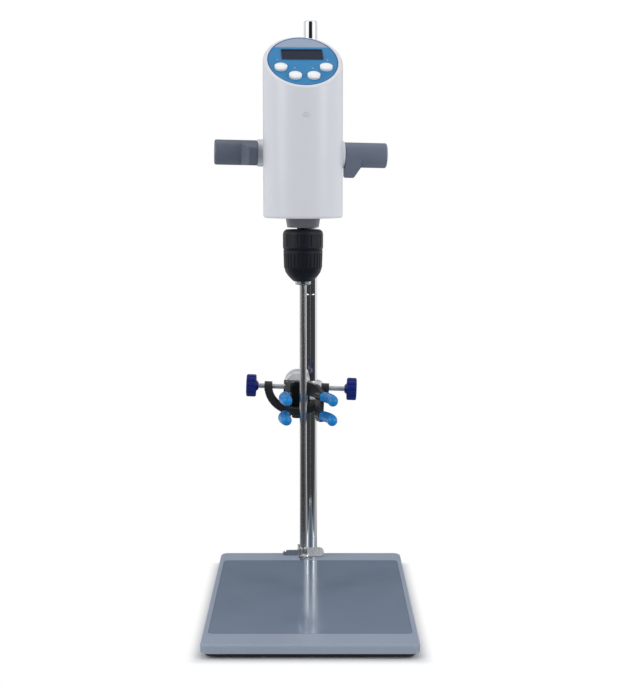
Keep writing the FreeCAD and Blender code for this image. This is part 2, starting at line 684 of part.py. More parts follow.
def build_panel():
    low = lid_bottom()
    lid = oval_column(-LID_GAP / 3).common(slant_slab(low, overlay_bottom()))
    holes = button_holes(BUTTON_GAP, low - 1, overlay_top() + 1)
    holes += [lid_screw(place, THREAD_GAP) for place in LID_SCREW_PLACES]
    lid = lid.cut(holes + [window_slab(-WINDOW_BORDER, low - 1, 1)])
    posts = [slant_cylinder(POST_R, place, board_top(), low) for place in POST_PLACES]
    save("panel_lid", at_head(fused([lid] + posts)))
    screws = [lid_screw(place, 0.0) for place in LID_SCREW_PLACES]
    save("panel_lid_screws", at_head(Part.makeCompound(screws)))
    overlay = oval_column(-LID_GAP / 3).common(slant_slab(overlay_bottom(), overlay_top()))
    overlay = overlay.cut(button_holes(BUTTON_GAP, low, 1) + [window_slab(THREAD_GAP, low, 1)])
    save("panel_overlay", at_head(overlay))
    save("display_window", at_head(window_slab(0.0, overlay_bottom(), overlay_top())))
    save("display_module", at_head(window_slab(0.0, board_top(), low)))
    board = slant_slab(board_top() - BOARD_THICKNESS, board_top(), (-BOARD_HALF_WIDTH, BOARD_HALF_WIDTH),
                       (BOARD_FRONT_V, BOARD_BACK_V))
    inside_r = BODY_R - BODY_WALL - 1
    board = board.common(cylinder(inside_r, (0, 0, BODY_BOTTOM_Z), (0, 0, SLANT_CENTRE_Z + BODY_R)))
    save("control_board", at_head(board))
    switches = []
    half = SWITCH_SIZE / 2
    for u, v in BUTTON_PLACES.values():
        top = board_top() + SWITCH_HEIGHT
        switches.append(slant_slab(board_top(), top, (u - half, u + half), (v - half, v + half)))
    save("tact_switches", at_head(Part.makeCompound(switches)))
    for name, place in BUTTON_PLACES.items():
        save(name, at_head(button(place)))


def build_housing():
    save("head_shell", at_head(head_shell()))
    front = -BODY_R - PLUG_PROUD
    plug = cylinder(PLUG_R, (0, front, PLUG_Z), (0, -BODY_R + BODY_WALL, PLUG_Z))
    plug = plug.makeChamfer(PLUG_PROUD, edges_at(plug, lambda edge: edge.BoundBox.YMax < front + 0.01))
    save("service_plug", at_head(plug))
    outer_y = BODY_R + INLET_PROUD
    inlet = cylinder(INLET_R, (0, outer_y - INLET_LENGTH, INLET_Z), (0, outer_y, INLET_Z))
    socket = cylinder(INLET_BORE_R, (0, outer_y - INLET_LENGTH * 0.8, INLET_Z), (0, outer_y + 1, INLET_Z))
    pin = cylinder(INLET_PIN_R, (0, outer_y - INLET_LENGTH, INLET_Z), (0, outer_y - 1, INLET_Z))
    save("power_inlet", at_head(fused([inlet.cut(socket), pin])))


def side_knob(side, lobe_angle):
    """Hollow grip with one lobe, along X from its inner end. side is -1 on the left, 1 on the right."""
    start = side * (BOSS_HALF_LENGTH + KNOB_GAP)
    grip = cylinder(KNOB_R, (0, 0, 0), (0, 0, KNOB_LENGTH))
    grip = grip.makeFillet(KNOB_EDGE_R, edges_in_plane(grip, KNOB_LENGTH))
    lobe_end = LOBE_TIP_LENGTH + LOBE_SLOPE_LENGTH
    side_view = [(0, 0, 0), (LOBE_REACH, 0, 0), (LOBE_REACH, 0, LOBE_TIP_LENGTH), (KNOB_R, 0, lobe_end),
                 (0, 0, lobe_end)]
    lobe = moved(face_of(side_view).extrude(FreeCAD.Vector(0, 2 * KNOB_R, 0)), (0, -KNOB_R, 0))
    end_view = [(0, -KNOB_R, 0), (LOBE_REACH, -LOBE_HALF_WIDTH, 0), (LOBE_REACH, LOBE_HALF_WIDTH, 0),
                (0, KNOB_R, 0)]
    lobe = lobe.common(face_of(end_view).extrude(FreeCAD.Vector(0, 0, lobe_end)))
    tips = edges_at(lobe, lambda edge: edge.BoundBox.XMin > LOBE_REACH - 0.001)
    lobe = lobe.makeFillet(KNOB_EDGE_R, tips)
    knob = fused([grip, lobe])
    knob = knob.cut(cylinder(KNOB_R - KNOB_WALL, (0, 0, -1), (0, 0, KNOB_HOLLOW_DEPTH)))
    hub = cylinder(KNOB_HUB_R, (0, 0, KNOB_HUB_SINK), (0, 0, KNOB_HOLLOW_DEPTH))
    knob = fused([knob, hub])
    knob = knob.cut(cylinder(KNOB_SCREW_R + THREAD_GAP, (0, 0, -1), (0, 0, KNOB_HOLLOW_DEPTH - KNOB_WALL)))
    knob = aligned(knob, (0, 0, 0), (side, 0, 0))
    lobe_now = (0, 0, -side)
    knob = turned_about(knob, (0, 0, 0), (1, 0, 0), lobe_turn(lobe_now, lobe_angle))
    return moved(knob, (start, BOSS_BACK, BAR_Z))


def lobe_turn(lobe_now, lobe_angle):
    """Angle about X that brings the lobe to lobe_angle below the forward direction."""
    current = math.degrees(math.atan2(lobe_now[2], lobe_now[1]))
    target = 180.0 - lobe_angle
    return target - current


def knob_screw(side):
    tip = side * (BAR_R + PART_GAP)
    end = side * (BOSS_HALF_LENGTH + KNOB_GAP + KNOB_HOLLOW_DEPTH - KNOB_WALL - PART_GAP)
    screw = cylinder(KNOB_SCREW_R, (tip, BOSS_BACK, BAR_Z), (end, BOSS_BACK, BAR_Z))
    return screw.makeChamfer(1.0, edges_at(screw, lambda edge: edge.BoundBox.XLength < 0.001))


def build_side_knobs():
    save("left_knob", at_head(boss_rolled(side_knob(-1, LEFT_LOBE_ANGLE))))
    save("right_knob", at_head(boss_rolled(side_knob(1, RIGHT_LOBE_ANGLE))))
    save("left_knob_screw", at_head(boss_rolled(knob_screw(-1))))
    save("right_knob_screw", at_head(boss_rolled(knob_screw(1))))


# Drive train


def build_bearing_housing():
    bore_r = BEARING_R + THREAD_GAP
    lip_r = BEARING_R - BEARING_LIP
    profile = [
        (lip_r, COLLAR_BOTTOM_Z), (COLLAR_BOTTOM_R, COLLAR_BOTTOM_Z), (COLLAR_TOP_R, BODY_BOTTOM_Z - 2.0),
        (COLLAR_TOP_R, BODY_BOTTOM_Z), (HOUSING_R, BODY_BOTTOM_Z), (HOUSING_R, HOUSING_TOP_Z),
        (bore_r, HOUSING_TOP_Z), (bore_r, UPPER_BEARING_Z), (lip_r, UPPER_BEARING_Z),
        (lip_r, BEARING_SEAT_Z + BEARING_WIDTH + 2.0), (bore_r, BEARING_SEAT_Z + BEARING_WIDTH + 2.0),
        (bore_r, BEARING_SEAT_Z), (lip_r, BEARING_SEAT_Z),
    ]
    save("bearing_housing", at_head(turned(profile)))
    floor_z = BODY_BOTTOM_Z + BODY_FLOOR
    nut = cylinder(HOUSING_NUT_R, (0, 0, floor_z), (0, 0, floor_z + HOUSING_NUT_HEIGHT))
    bore = cylinder(HOUSING_R + THREAD_GAP, (0, 0, floor_z - 1), (0, 0, floor_z + HOUSING_NUT_HEIGHT + 1))
    notches = [block((HOUSING_NUT_R - 2.5, HOUSING_NUT_R + 1), (-2, 2), (floor_z - 1, floor_z + 9))]
    notches = [turned_about(notches[0], (0, 0, 0), (0, 0, 1), 90 * k) for k in range(4)]
    save("housing_nut", at_head(nut.cut([bore] + notches)))
    rings = []
    for low in (BEARING_SEAT_Z, UPPER_BEARING_Z):
        ring = turned([(SPINDLE_R + BEARING_GAP, 0), (BEARING_R - 0.4, 0), (BEARING_R, 0.4),
                       (BEARING_R, BEARING_WIDTH - 0.4), (BEARING_R - 0.4, BEARING_WIDTH),
                       (SPINDLE_R + BEARING_GAP, BEARING_WIDTH)])
        rings.append(moved(ring, (0, 0, low)))
    save("spindle_bearings", at_head(Part.makeCompound(rings)))


def motor_bottom_z():
    """The motor's plate rests on the highest point of the rolled boss inside the shell."""
    roll = math.radians(BOSS_ROLL)
    boss_top = BAR_Z + BOSS_R / math.cos(roll) + BODY_R * math.tan(roll)
    return boss_top + MOTOR_PLATE_THICKNESS


def build_drive():
    neck_top = BEARING_SEAT_Z - PART_GAP
    spindle = turned([
        (0, CHUCK_CORE_TOP_Z - CHUCK_SPINDLE_SINK), (SPINDLE_R, CHUCK_CORE_TOP_Z - CHUCK_SPINDLE_SINK),
        (SPINDLE_R, CHUCK_CORE_TOP_Z),
        (SPINDLE_NECK_R, CHUCK_CORE_TOP_Z), (SPINDLE_NECK_R, neck_top), (SPINDLE_R, neck_top),
        (SPINDLE_R, SPINDLE_TOP_Z - 0.5), (SPINDLE_R - 0.5, SPINDLE_TOP_Z), (0, SPINDLE_TOP_Z),
    ])
    save("spindle", at_head(spindle))
    outline = [(COUPLING_R, COUPLING_BOTTOM_Z)]
    groove_count = 4
    step = (COUPLING_TOP_Z - COUPLING_BOTTOM_Z) / (groove_count + 3)
    for index in range(groove_count):
        z = COUPLING_BOTTOM_Z + step * (index + 2)
        outline += [(COUPLING_R, z - 0.5), (COUPLING_R - 2.0, z - 0.5), (COUPLING_R - 2.0, z + 0.5),
                    (COUPLING_R, z + 0.5)]
    outline += [(COUPLING_R, COUPLING_TOP_Z), (0, COUPLING_TOP_Z), (0, COUPLING_BOTTOM_Z)]
    sleeve = turned(outline)
    middle = (SPINDLE_TOP_Z + MOTOR_SHAFT_BOTTOM_Z) / 2
    bores = [
        cylinder(SPINDLE_R + THREAD_GAP, (0, 0, COUPLING_BOTTOM_Z - 1), (0, 0, middle)),
        cylinder(MOTOR_SHAFT_R + THREAD_GAP, (0, 0, middle - 1), (0, 0, COUPLING_TOP_Z + 1)),
    ]
    save("drive_coupling", at_head(sleeve.cut(bores)))
    low = motor_bottom_z()
    high = low + MOTOR_LENGTH
    plate = cylinder(BODY_R - BODY_WALL - THREAD_GAP, (0, 0, low - MOTOR_PLATE_THICKNESS), (0, 0, low))
    plate = plate.cut(cylinder(COUPLING_R, (0, 0, low - 9), (0, 0, low + 9)))
    save("motor_plate", at_head(plate))
    can = turned([
        (MOTOR_SHAFT_R + BEARING_GAP, low), (MOTOR_R, low), (MOTOR_R, high),
        (MOTOR_SHAFT_R + BEARING_GAP, high),
        (MOTOR_SHAFT_R + BEARING_GAP, high - MOTOR_END), (MOTOR_R - MOTOR_WALL, high - MOTOR_END),
        (MOTOR_R - MOTOR_WALL, low + MOTOR_END), (MOTOR_SHAFT_R + BEARING_GAP, low + MOTOR_END),
    ])
    save("motor_can", at_head(can))
    rotor_low = low + (MOTOR_LENGTH - ROTOR_LENGTH) / 2
    rotor = turned([
        (0, MOTOR_SHAFT_BOTTOM_Z), (MOTOR_SHAFT_R, MOTOR_SHAFT_BOTTOM_Z), (MOTOR_SHAFT_R, rotor_low),
        (ROTOR_R, rotor_low), (ROTOR_R, rotor_low + ROTOR_LENGTH), (MOTOR_SHAFT_R, rotor_low + ROTOR_LENGTH),
        (MOTOR_SHAFT_R, high + 1.0), (0, high + 1.0),
    ])
    save("motor_rotor", at_head(rotor))


# Keyless chuck


def jaw_direction(index):
    """Unit vector up a jaw's bore, leaning out from the spindle axis."""
    around = 2 * math.pi * index / JAW_COUNT
    tilt = math.radians(JAW_TILT)
    return (math.sin(tilt) * math.cos(around), math.sin(tilt) * math.sin(around), math.cos(tilt))


def jaw_column(index, radius, extra_low, extra_high):
    around = 2 * math.pi * index / JAW_COUNT
    foot = FreeCAD.Vector(JAW_START_R * math.cos(around), JAW_START_R * math.sin(around), CHUCK_CORE_BOTTOM_Z)
    up = vec(jaw_direction(index))
    start = foot - up * extra_low
    end = foot + up * (JAW_LENGTH + extra_high)
    return cylinder(radius, start, end)


def chuck_ring():
    ring = turned([
        (CHUCK_CORE_R + THREAD_GAP, CHUCK_RING_BOTTOM_Z), (CHUCK_RING_R - 0.6, CHUCK_RING_BOTTOM_Z),
        (CHUCK_RING_R, CHUCK_RING_BOTTOM_Z + 2.0), (CHUCK_RING_R, CHUCK_TOP_Z - 4.0),
        (CHUCK_RING_R - 1.0, CHUCK_TOP_Z - 1.5), (CHUCK_RING_R - 3.0, CHUCK_TOP_Z),
        (SPINDLE_NECK_R + PART_GAP, CHUCK_TOP_Z), (SPINDLE_NECK_R + PART_GAP, CHUCK_CORE_TOP_Z),
        (CHUCK_CORE_R + THREAD_GAP, CHUCK_CORE_TOP_Z),
    ])
    cuts = []
    for index in range(RING_FLUTE_COUNT):
        around = 2 * math.pi * index / RING_FLUTE_COUNT
        reach = CHUCK_RING_R + RING_FLUTE_R - RING_FLUTE_DEPTH
        x = reach * math.cos(around)
        y = reach * math.sin(around)
        cuts.append(cylinder(RING_FLUTE_R, (x, y, CHUCK_RING_BOTTOM_Z + 3.0), (x, y, CHUCK_TOP_Z - 4.5)))
    return ring.cut(cuts)


def chuck_core():
    shoulder_z = SLEEVE_BOTTOM_Z + 6.0
    core = turned([
        (0, CHUCK_CORE_BOTTOM_Z), (CHUCK_NOSE_R - 1.0, CHUCK_CORE_BOTTOM_Z),
        (CHUCK_NOSE_R, CHUCK_CORE_BOTTOM_Z + 1.0), (CHUCK_NOSE_R, shoulder_z - 3.0),
        (CHUCK_CORE_R - 2.5, shoulder_z),
        (CHUCK_CORE_R, shoulder_z + 5.0), (CHUCK_CORE_R, CHUCK_CORE_TOP_Z), (0, CHUCK_CORE_TOP_Z),
    ])
    cuts = [jaw_column(index, JAW_R + JAW_GAP, 10.0, JAW_TRAVEL + 0.5) for index in range(JAW_COUNT)]
    cuts.append(cylinder(SHAFT_R + SHAFT_GAP, (0, 0, CHUCK_CORE_BOTTOM_Z - 1), (0, 0, SHAFT_TOP_Z)))
    spindle_end = CHUCK_CORE_TOP_Z - CHUCK_SPINDLE_SINK
    cuts.append(cylinder(SPINDLE_R + THREAD_GAP, (0, 0, spindle_end), (0, 0, CHUCK_CORE_TOP_Z + 1)))
    return core.cut(cuts)


def chuck_sleeve():
    bore_r = CHUCK_CORE_R + SLEEVE_GAP
    top_z = CHUCK_RING_BOTTOM_Z - CHUCK_GROOVE
    nose_r = CHUCK_NOSE_R + PART_GAP
    outside = [
        (bore_r, top_z), (SLEEVE_TOP_R - 0.5, top_z), (SLEEVE_TOP_R, top_z - 0.7),
        (SLEEVE_TOP_R, top_z - 2.2),
        (SLEEVE_BOTTOM_R, SLEEVE_CONE_TOP_Z),
    ]
    nose = [
        (SLEEVE_NOSE_R, SLEEVE_BOTTOM_Z), (nose_r, SLEEVE_BOTTOM_Z), (nose_r, SLEEVE_BOTTOM_Z + 2.6),
        (CHUCK_CORE_R - 2.5 + PART_GAP, SLEEVE_BOTTOM_Z + 5.6), (bore_r, SLEEVE_BOTTOM_Z + 10.7),
    ]
    sleeve = turned(outside + list(SLEEVE_CURVE) + nose)
    cuts = []
    lean = (SLEEVE_TOP_R - SLEEVE_BOTTOM_R) / (top_z - SLEEVE_CONE_TOP_Z)
    for index in range(SLEEVE_RIB_COUNT):
        around = 2 * math.pi * index / SLEEVE_RIB_COUNT
        low_z = SLEEVE_CONE_TOP_Z - 1.5
        high_z = top_z - 3.4
        low_r = SLEEVE_BOTTOM_R - lean * 1.5 + 0.1
        high_r = SLEEVE_BOTTOM_R + lean * (high_z - SLEEVE_CONE_TOP_Z) + 0.1
        low = (low_r * math.cos(around), low_r * math.sin(around), low_z)
        high = (high_r * math.cos(around), high_r * math.sin(around), high_z)
        cuts.append(cylinder(SLEEVE_RIB_R, low, high))
    return sleeve.cut(cuts)


def chuck_jaw(index):
    jaw = jaw_column(index, JAW_R, 0.0, 0.0)
    floor = CHUCK_CORE_BOTTOM_Z + 0.2
    jaw = jaw.common(cylinder(FAR, (0, 0, floor), (0, 0, FAR * 2)))
    return jaw.cut(cylinder(SHAFT_R + JAW_GAP, (0, 0, 0), (0, 0, FAR * 2)))


def build_chuck():
    save("chuck_rear_ring", at_head(chuck_ring()))
    save("chuck_core", at_head(chuck_core()))
    save("chuck_sleeve", at_head(chuck_sleeve()))
    for index in range(JAW_COUNT):
        save("chuck_jaw_%d" % (index + 1), at_head(chuck_jaw(index)))


# Stirring shaft and propeller


def propeller():
    low = SHAFT_BOTTOM_Z - 1.0
    hub = cylinder(PROPELLER_HUB_R, (0, 0, low), (0, 0, low + PROPELLER_HUB_HEIGHT))
    hub = hub.makeChamfer(1.0, edges_in_plane(hub, low) + edges_in_plane(hub, low + PROPELLER_HUB_HEIGHT))
    middle = low + PROPELLER_HUB_HEIGHT / 2
    root_r = PROPELLER_HUB_R * 0.5
    blade = block((root_r, PROPELLER_R), (-BLADE_WIDTH / 2, BLADE_WIDTH / 2),
                  (-BLADE_THICKNESS / 2, BLADE_THICKNESS / 2))
    outer = edges_at(blade, lambda edge: edge.BoundBox.XMin > PROPELLER_R - 0.01
                     and edge.BoundBox.ZLength > BLADE_THICKNESS / 2)
    blade = blade.makeFillet(BLADE_WIDTH * 0.4, outer)
    blade = moved(turned_about(blade, (0, 0, 0), (1, 0, 0), BLADE_PITCH), (0, 0, middle))
    blades = [turned_about(blade, (0, 0, 0), (0, 0, 1), 360.0 * k / PROPELLER_BLADES)
              for k in range(PROPELLER_BLADES)]
    whole = fused([hub] + blades)
    return whole.cut(cylinder(SHAFT_R + THREAD_GAP, (0, 0, SHAFT_BOTTOM_Z), (0, 0, FAR)))


def build_stirring_shaft():
    shaft = cylinder(SHAFT_R, (0, 0, SHAFT_BOTTOM_Z), (0, 0, SHAFT_TOP_Z - 1.0))
    shaft = shaft.makeChamfer(0.5, edges_in_plane(shaft, SHAFT_TOP_Z - 1.0))
    save("stirring_shaft", at_head(shaft))
    save("propeller", at_head(propeller()))


# Vessel clamp. It is made level, then rolled a little about its arm.


def rolled(shape):
    return turned_about(shape, (CLAMP_OFFSET, 0, CLAMP_Z), (0, 1, 0), CLAMP_ROLL)


def clamp_casting():
    half = CLAMP_SOCKET_HALF_LENGTH
    low = CLAMP_BARREL_LOW_Z
    high = CLAMP_BARREL_HIGH_Z
    barrel = cylinder(CLAMP_BARREL_R, (0, ROD_Y, low), (0, ROD_Y, high))
    barrel = barrel.makeChamfer(1.5, edges_in_plane(barrel, low) + edges_in_plane(barrel, high))
    socket = cylinder(CLAMP_SOCKET_R, (CLAMP_OFFSET, ROD_Y - half, CLAMP_Z),
                      (CLAMP_OFFSET, ROD_Y + half, CLAMP_Z))
    socket = socket.makeFillet(2.0, edges_at(socket, lambda edge: edge.BoundBox.YLength < 0.001))
    web = block((CLAMP_OFFSET, 0), (ROD_Y - half * 0.7, ROD_Y + half * 0.7), (CLAMP_Z - CLAMP_SOCKET_R, high))
    rod_boss_end = ROD_Y + CLAMP_BOSS_LENGTH
    rod_boss = cylinder(CLAMP_BOSS_R, (0, ROD_Y, CLAMP_SCREW_Z), (0, rod_boss_end, CLAMP_SCREW_Z))
    arm_boss_end = CLAMP_Z - CLAMP_BOSS_LENGTH
    arm_boss = cylinder(CLAMP_BOSS_R, (CLAMP_OFFSET, ROD_Y, CLAMP_Z), (CLAMP_OFFSET, ROD_Y, arm_boss_end))
    casting = fused([barrel, socket, web, rod_boss, arm_boss])
    screw_hole = CLAMP_SCREW_R + THREAD_GAP
    return casting.cut([
        cylinder(ROD_R + SLIDE_GAP, (0, ROD_Y, 0), (0, ROD_Y, FAR)),
        cylinder(CLAMP_ARM_R + SLIDE_GAP, (CLAMP_OFFSET, 0, CLAMP_Z), (CLAMP_OFFSET, FAR, CLAMP_Z)),
        cylinder(screw_hole, (0, ROD_Y, CLAMP_SCREW_Z), (0, rod_boss_end + 1, CLAMP_SCREW_Z)),
        cylinder(screw_hole, (CLAMP_OFFSET, ROD_Y, CLAMP_Z), (CLAMP_OFFSET, ROD_Y, arm_boss_end - 1)),
    ])


def oval_bar(half_width, half_height, centre, y_range):
    """Bar along Y with an oval section, wider than it is high."""
    middle = FreeCAD.Vector(centre[0], y_range[0], centre[1])
    side = FreeCAD.Vector(half_width, 0, 0)
    top = FreeCAD.Vector(0, 0, half_height)
    oval = Part.Ellipse(middle + side, middle + top, middle)
    face = Part.Face(Part.Wire(oval.toShape()))
    return face.extrude(FreeCAD.Vector(0, y_range[1] - y_range[0], 0))


def clamp_yoke():
    x = CLAMP_OFFSET
    hub = block((x - HUB_HALF_WIDTH, x + HUB_HALF_WIDTH), (HUB_FRONT_Y, HUB_BACK_Y),
                (HUB_BOTTOM_Z, HUB_TOP_Z))
    rear_edges = edges_at(hub, lambda edge: edge.BoundBox.YMin > HUB_BACK_Y - 0.001)
    hub = hub.makeFillet(HUB_EDGE_R, rear_edges)
    pieces = [hub]
    for side in (-1, 1):
        pivot_x = x + side * PIVOT_HALF_SPACING
        for low in (HUB_BOTTOM_Z, HUB_TOP_Z - EAR_THICKNESS):
            high = low + EAR_THICKNESS
            pieces.append(cylinder(EAR_R, (pivot_x, PIVOT_Y, low), (pivot_x, PIVOT_Y, high)))
            pieces.append(block((pivot_x - EAR_R, pivot_x + EAR_R), (PIVOT_Y, HUB_FRONT_Y + 1), (low, high)))
    front_y = SCREW_Y - YOKE_DEPTH / 2
    back_y = SCREW_Y + YOKE_DEPTH / 2
    outer_r = YOKE_INNER_R + YOKE_WALL
    outer_drop = YOKE_INNER_DROP + YOKE_WALL
    ring = oval_bar(outer_r, outer_drop, (x, SCREW_Z), (front_y, back_y))
    ring = ring.cut(oval_bar(YOKE_INNER_R, YOKE_INNER_DROP, (x, SCREW_Z), (front_y - 1, back_y + 1)))
    ring = ring.cut(block((-FAR, FAR), (-FAR, FAR), (SCREW_Z, FAR)))
    ring_edges = edges_at(ring, lambda edge: edge.BoundBox.YLength < 0.001
                          and edge.BoundBox.XLength > outer_r)
    pieces.append(ring.makeFillet(1.5, ring_edges))
    for side in (-1, 1):
        start = (x + side * YOKE_INNER_R, SCREW_Y, SCREW_Z)
        pieces.append(cylinder(YOKE_DEPTH / 2, start, (x + side * outer_r, SCREW_Y, SCREW_Z)))
    web_top = HUB_BOTTOM_Z + EAR_THICKNESS
    web_back = HUB_BACK_Y - HUB_EDGE_R - 1
    pieces.append(block((x - YOKE_WEB_HALF_WIDTH, x + YOKE_WEB_HALF_WIDTH), (SCREW_Y, web_back),
                        (HUB_BOTTOM_Z, web_top)))
    casting = fused(pieces)
    cuts = [
        cylinder(CLAMP_ARM_R + THREAD_GAP, (x, HUB_BACK_Y - ARM_GRIP, CLAMP_Z), (x, FAR, CLAMP_Z)),
        cylinder(ADJUST_SCREW_R + THREAD_GAP, (-FAR, SCREW_Y, SCREW_Z), (FAR, SCREW_Y, SCREW_Z)),
    ]
    for side in (-1, 1):
        pivot_x = x + side * PIVOT_HALF_SPACING
        bottom = HUB_BOTTOM_Z + 1
        cuts.append(cylinder(PIVOT_R + THREAD_GAP, (pivot_x, PIVOT_Y, bottom), (pivot_x, PIVOT_Y, FAR)))
    return casting.cut(cuts)


def pivot_pins():
    pins = []
    for side in (-1, 1):
        x = CLAMP_OFFSET + side * PIVOT_HALF_SPACING
        pin = cylinder(PIVOT_R, (x, PIVOT_Y, HUB_BOTTOM_Z + 1), (x, PIVOT_Y, HUB_TOP_Z))
        head = cylinder(PIVOT_HEAD_R, (x, PIVOT_Y, HUB_TOP_Z), (x, PIVOT_Y, HUB_TOP_Z + PIVOT_HEAD_HEIGHT))
        pins.append(fused([pin, head]))
    return Part.makeCompound(pins)


def circle_through(first, middle, last):
    """Centre and radius of the circle in the XY plane through three points."""
    (ax, ay), (bx, by), (cx, cy) = first, middle, last
    scale = 2 * (ax * (by - cy) + bx * (cy - ay) + cx * (ay - by))
    a2 = ax ** 2 + ay ** 2
    b2 = bx ** 2 + by ** 2
    c2 = cx ** 2 + cy ** 2
    x = (a2 * (by - cy) + b2 * (cy - ay) + c2 * (ay - by)) / scale
    y = (a2 * (cx - bx) + b2 * (ax - cx) + c2 * (bx - ax)) / scale
    return (x, y), math.hypot(ax - x, ay - y)


def finger_bend(side):
    first = (0.0, -(JAW_PALM_END - FINGER_ROOT))
    last = (-side * FINGER_HOOK, -FINGER_END)
    middle = (side * FINGER_BOW, (first[1] + last[1]) / 2)
    centre, radius = circle_through(first, middle, last)
    start = math.degrees(math.atan2(first[1] - centre[1], first[0] - centre[0]))
    end = math.degrees(math.atan2(last[1] - centre[1], last[0] - centre[0]))
    sweep = (end - start + 180.0) % 360.0 - 180.0
    return first, last, centre, sweep


def finger_bar(side, z, radius):
    first, last, centre, sweep = finger_bend(side)
    tangent = (-(first[1] - centre[1]), first[0] - centre[0], 0)
    ring = Part.makeCircle(radius, FreeCAD.Vector(first[0], first[1], z), vec(tangent))
    disc = Part.Face(Part.Wire(ring))
    return disc.revolve(FreeCAD.Vector(centre[0], centre[1], 0), FreeCAD.Vector(0, 0, 1), sweep)


def finger_sleeve(side, z):
    last = finger_bend(side)[1]
    tip = Part.makeSphere(FINGER_R, FreeCAD.Vector(last[0], last[1], z))
    sleeve = fused([finger_bar(side, z, FINGER_R), tip])
    palm = block((-FAR, FAR), (-JAW_PALM_END, FAR), (0, FAR))
    return sleeve.cut([palm, finger_bar(side, z, FINGER_WIRE_R + THREAD_GAP)])


def jaw_angle(side):
    return LEFT_JAW_ANGLE if side < 0 else RIGHT_JAW_ANGLE


def at_jaw(shape, side):
    opened = turned_about(shape, (0, 0, 0), (0, 0, 1), side * jaw_angle(side))
    return rolled(moved(opened, (CLAMP_OFFSET + side * PIVOT_HALF_SPACING, PIVOT_Y, 0)))


def jaw(side):
    low = HUB_BOTTOM_Z + EAR_THICKNESS + PART_GAP
    high = HUB_TOP_Z - EAR_THICKNESS - PART_GAP
    barrel = cylinder(JAW_BARREL_R, (0, 0, low), (0, 0, high))
    clear = EAR_R + 1.5
    outline = [
        (0, 0, JAW_NECK_BOTTOM_Z), (0, 0, high), (0, -clear, high), (0, -clear - 1.5, JAW_NECK_TOP_Z),
        (0, -JAW_PALM_START, JAW_NECK_TOP_Z), (0, -JAW_PALM_END, JAW_PALM_TOP_Z),
        (0, -JAW_PALM_END, JAW_PALM_BOTTOM_Z), (0, -JAW_PALM_START - JAW_CORNER, JAW_PALM_BOTTOM_Z),
        (0, -JAW_PALM_START, JAW_PALM_BOTTOM_Z + JAW_CORNER), (0, -JAW_PALM_START, JAW_NECK_BOTTOM_Z),
    ]
    plate = face_of(outline).extrude(FreeCAD.Vector(2 * JAW_PLATE_HALF, 0, 0))
    plate = moved(plate, (-JAW_PLATE_HALF, 0, 0))
    collar_r = FINGER_WIRE_R + 1.6
    collars = [cylinder(collar_r, (0, -JAW_PALM_START - 3, z), (0, -JAW_PALM_END, z)) for z in FINGER_Z]
    wires = [finger_bar(side, z, FINGER_WIRE_R) for z in FINGER_Z]
    casting = fused([barrel, plate] + collars)
    casting = casting.cut(cylinder(PIVOT_R + PIVOT_GAP, (0, 0, 0), (0, 0, FAR)))
    return casting.fuse(wires)


def screw_tip(side):
    """Distance from the clamp's middle to the centre of an adjusting screw's round tip."""
    angle = math.radians(jaw_angle(side))
    lever = PIVOT_Y - SCREW_Y
    seat = JAW_PLATE_HALF + ADJUST_SCREW_R + PART_GAP
    return PIVOT_HALF_SPACING + (seat + lever * math.sin(angle)) / math.cos(angle)


def adjust_screw(side):
    tip = screw_tip(side)
    knob = tip - ADJUST_SCREW_R + ADJUST_SCREW_LENGTH
    shank = cylinder(ADJUST_SCREW_R, (0, 0, tip), (0, 0, knob + ADJUST_SCREW_SINK))
    nose = Part.makeSphere(ADJUST_SCREW_R, FreeCAD.Vector(0, 0, tip))
    return aligned(fused([shank, nose]), (CLAMP_OFFSET, SCREW_Y, SCREW_Z), (side, 0, 0))


def adjust_knob(side):
    start = screw_tip(side) - ADJUST_SCREW_R + ADJUST_SCREW_LENGTH
    rim = lobed_knob(ADJUST_KNOB_R, ADJUST_KNOB_LENGTH, ADJUST_KNOB_LOBES, ADJUST_SCALLOP_R, 1.0)
    cone = turned([(0, -ADJUST_CONE_LENGTH), (ADJUST_SCREW_R + 1.2, -ADJUST_CONE_LENGTH),
                   (ADJUST_CONE_R, 0.5), (0, 0.5)])
    knob = moved(fused([rim, cone]), (0, 0, start))
    bore_end = start + ADJUST_SCREW_SINK + THREAD_GAP
    knob = knob.cut(cylinder(ADJUST_SCREW_R + THREAD_GAP, (0, 0, 0), (0, 0, bore_end)))
    return aligned(knob, (CLAMP_OFFSET, SCREW_Y, SCREW_Z), (side, 0, 0))


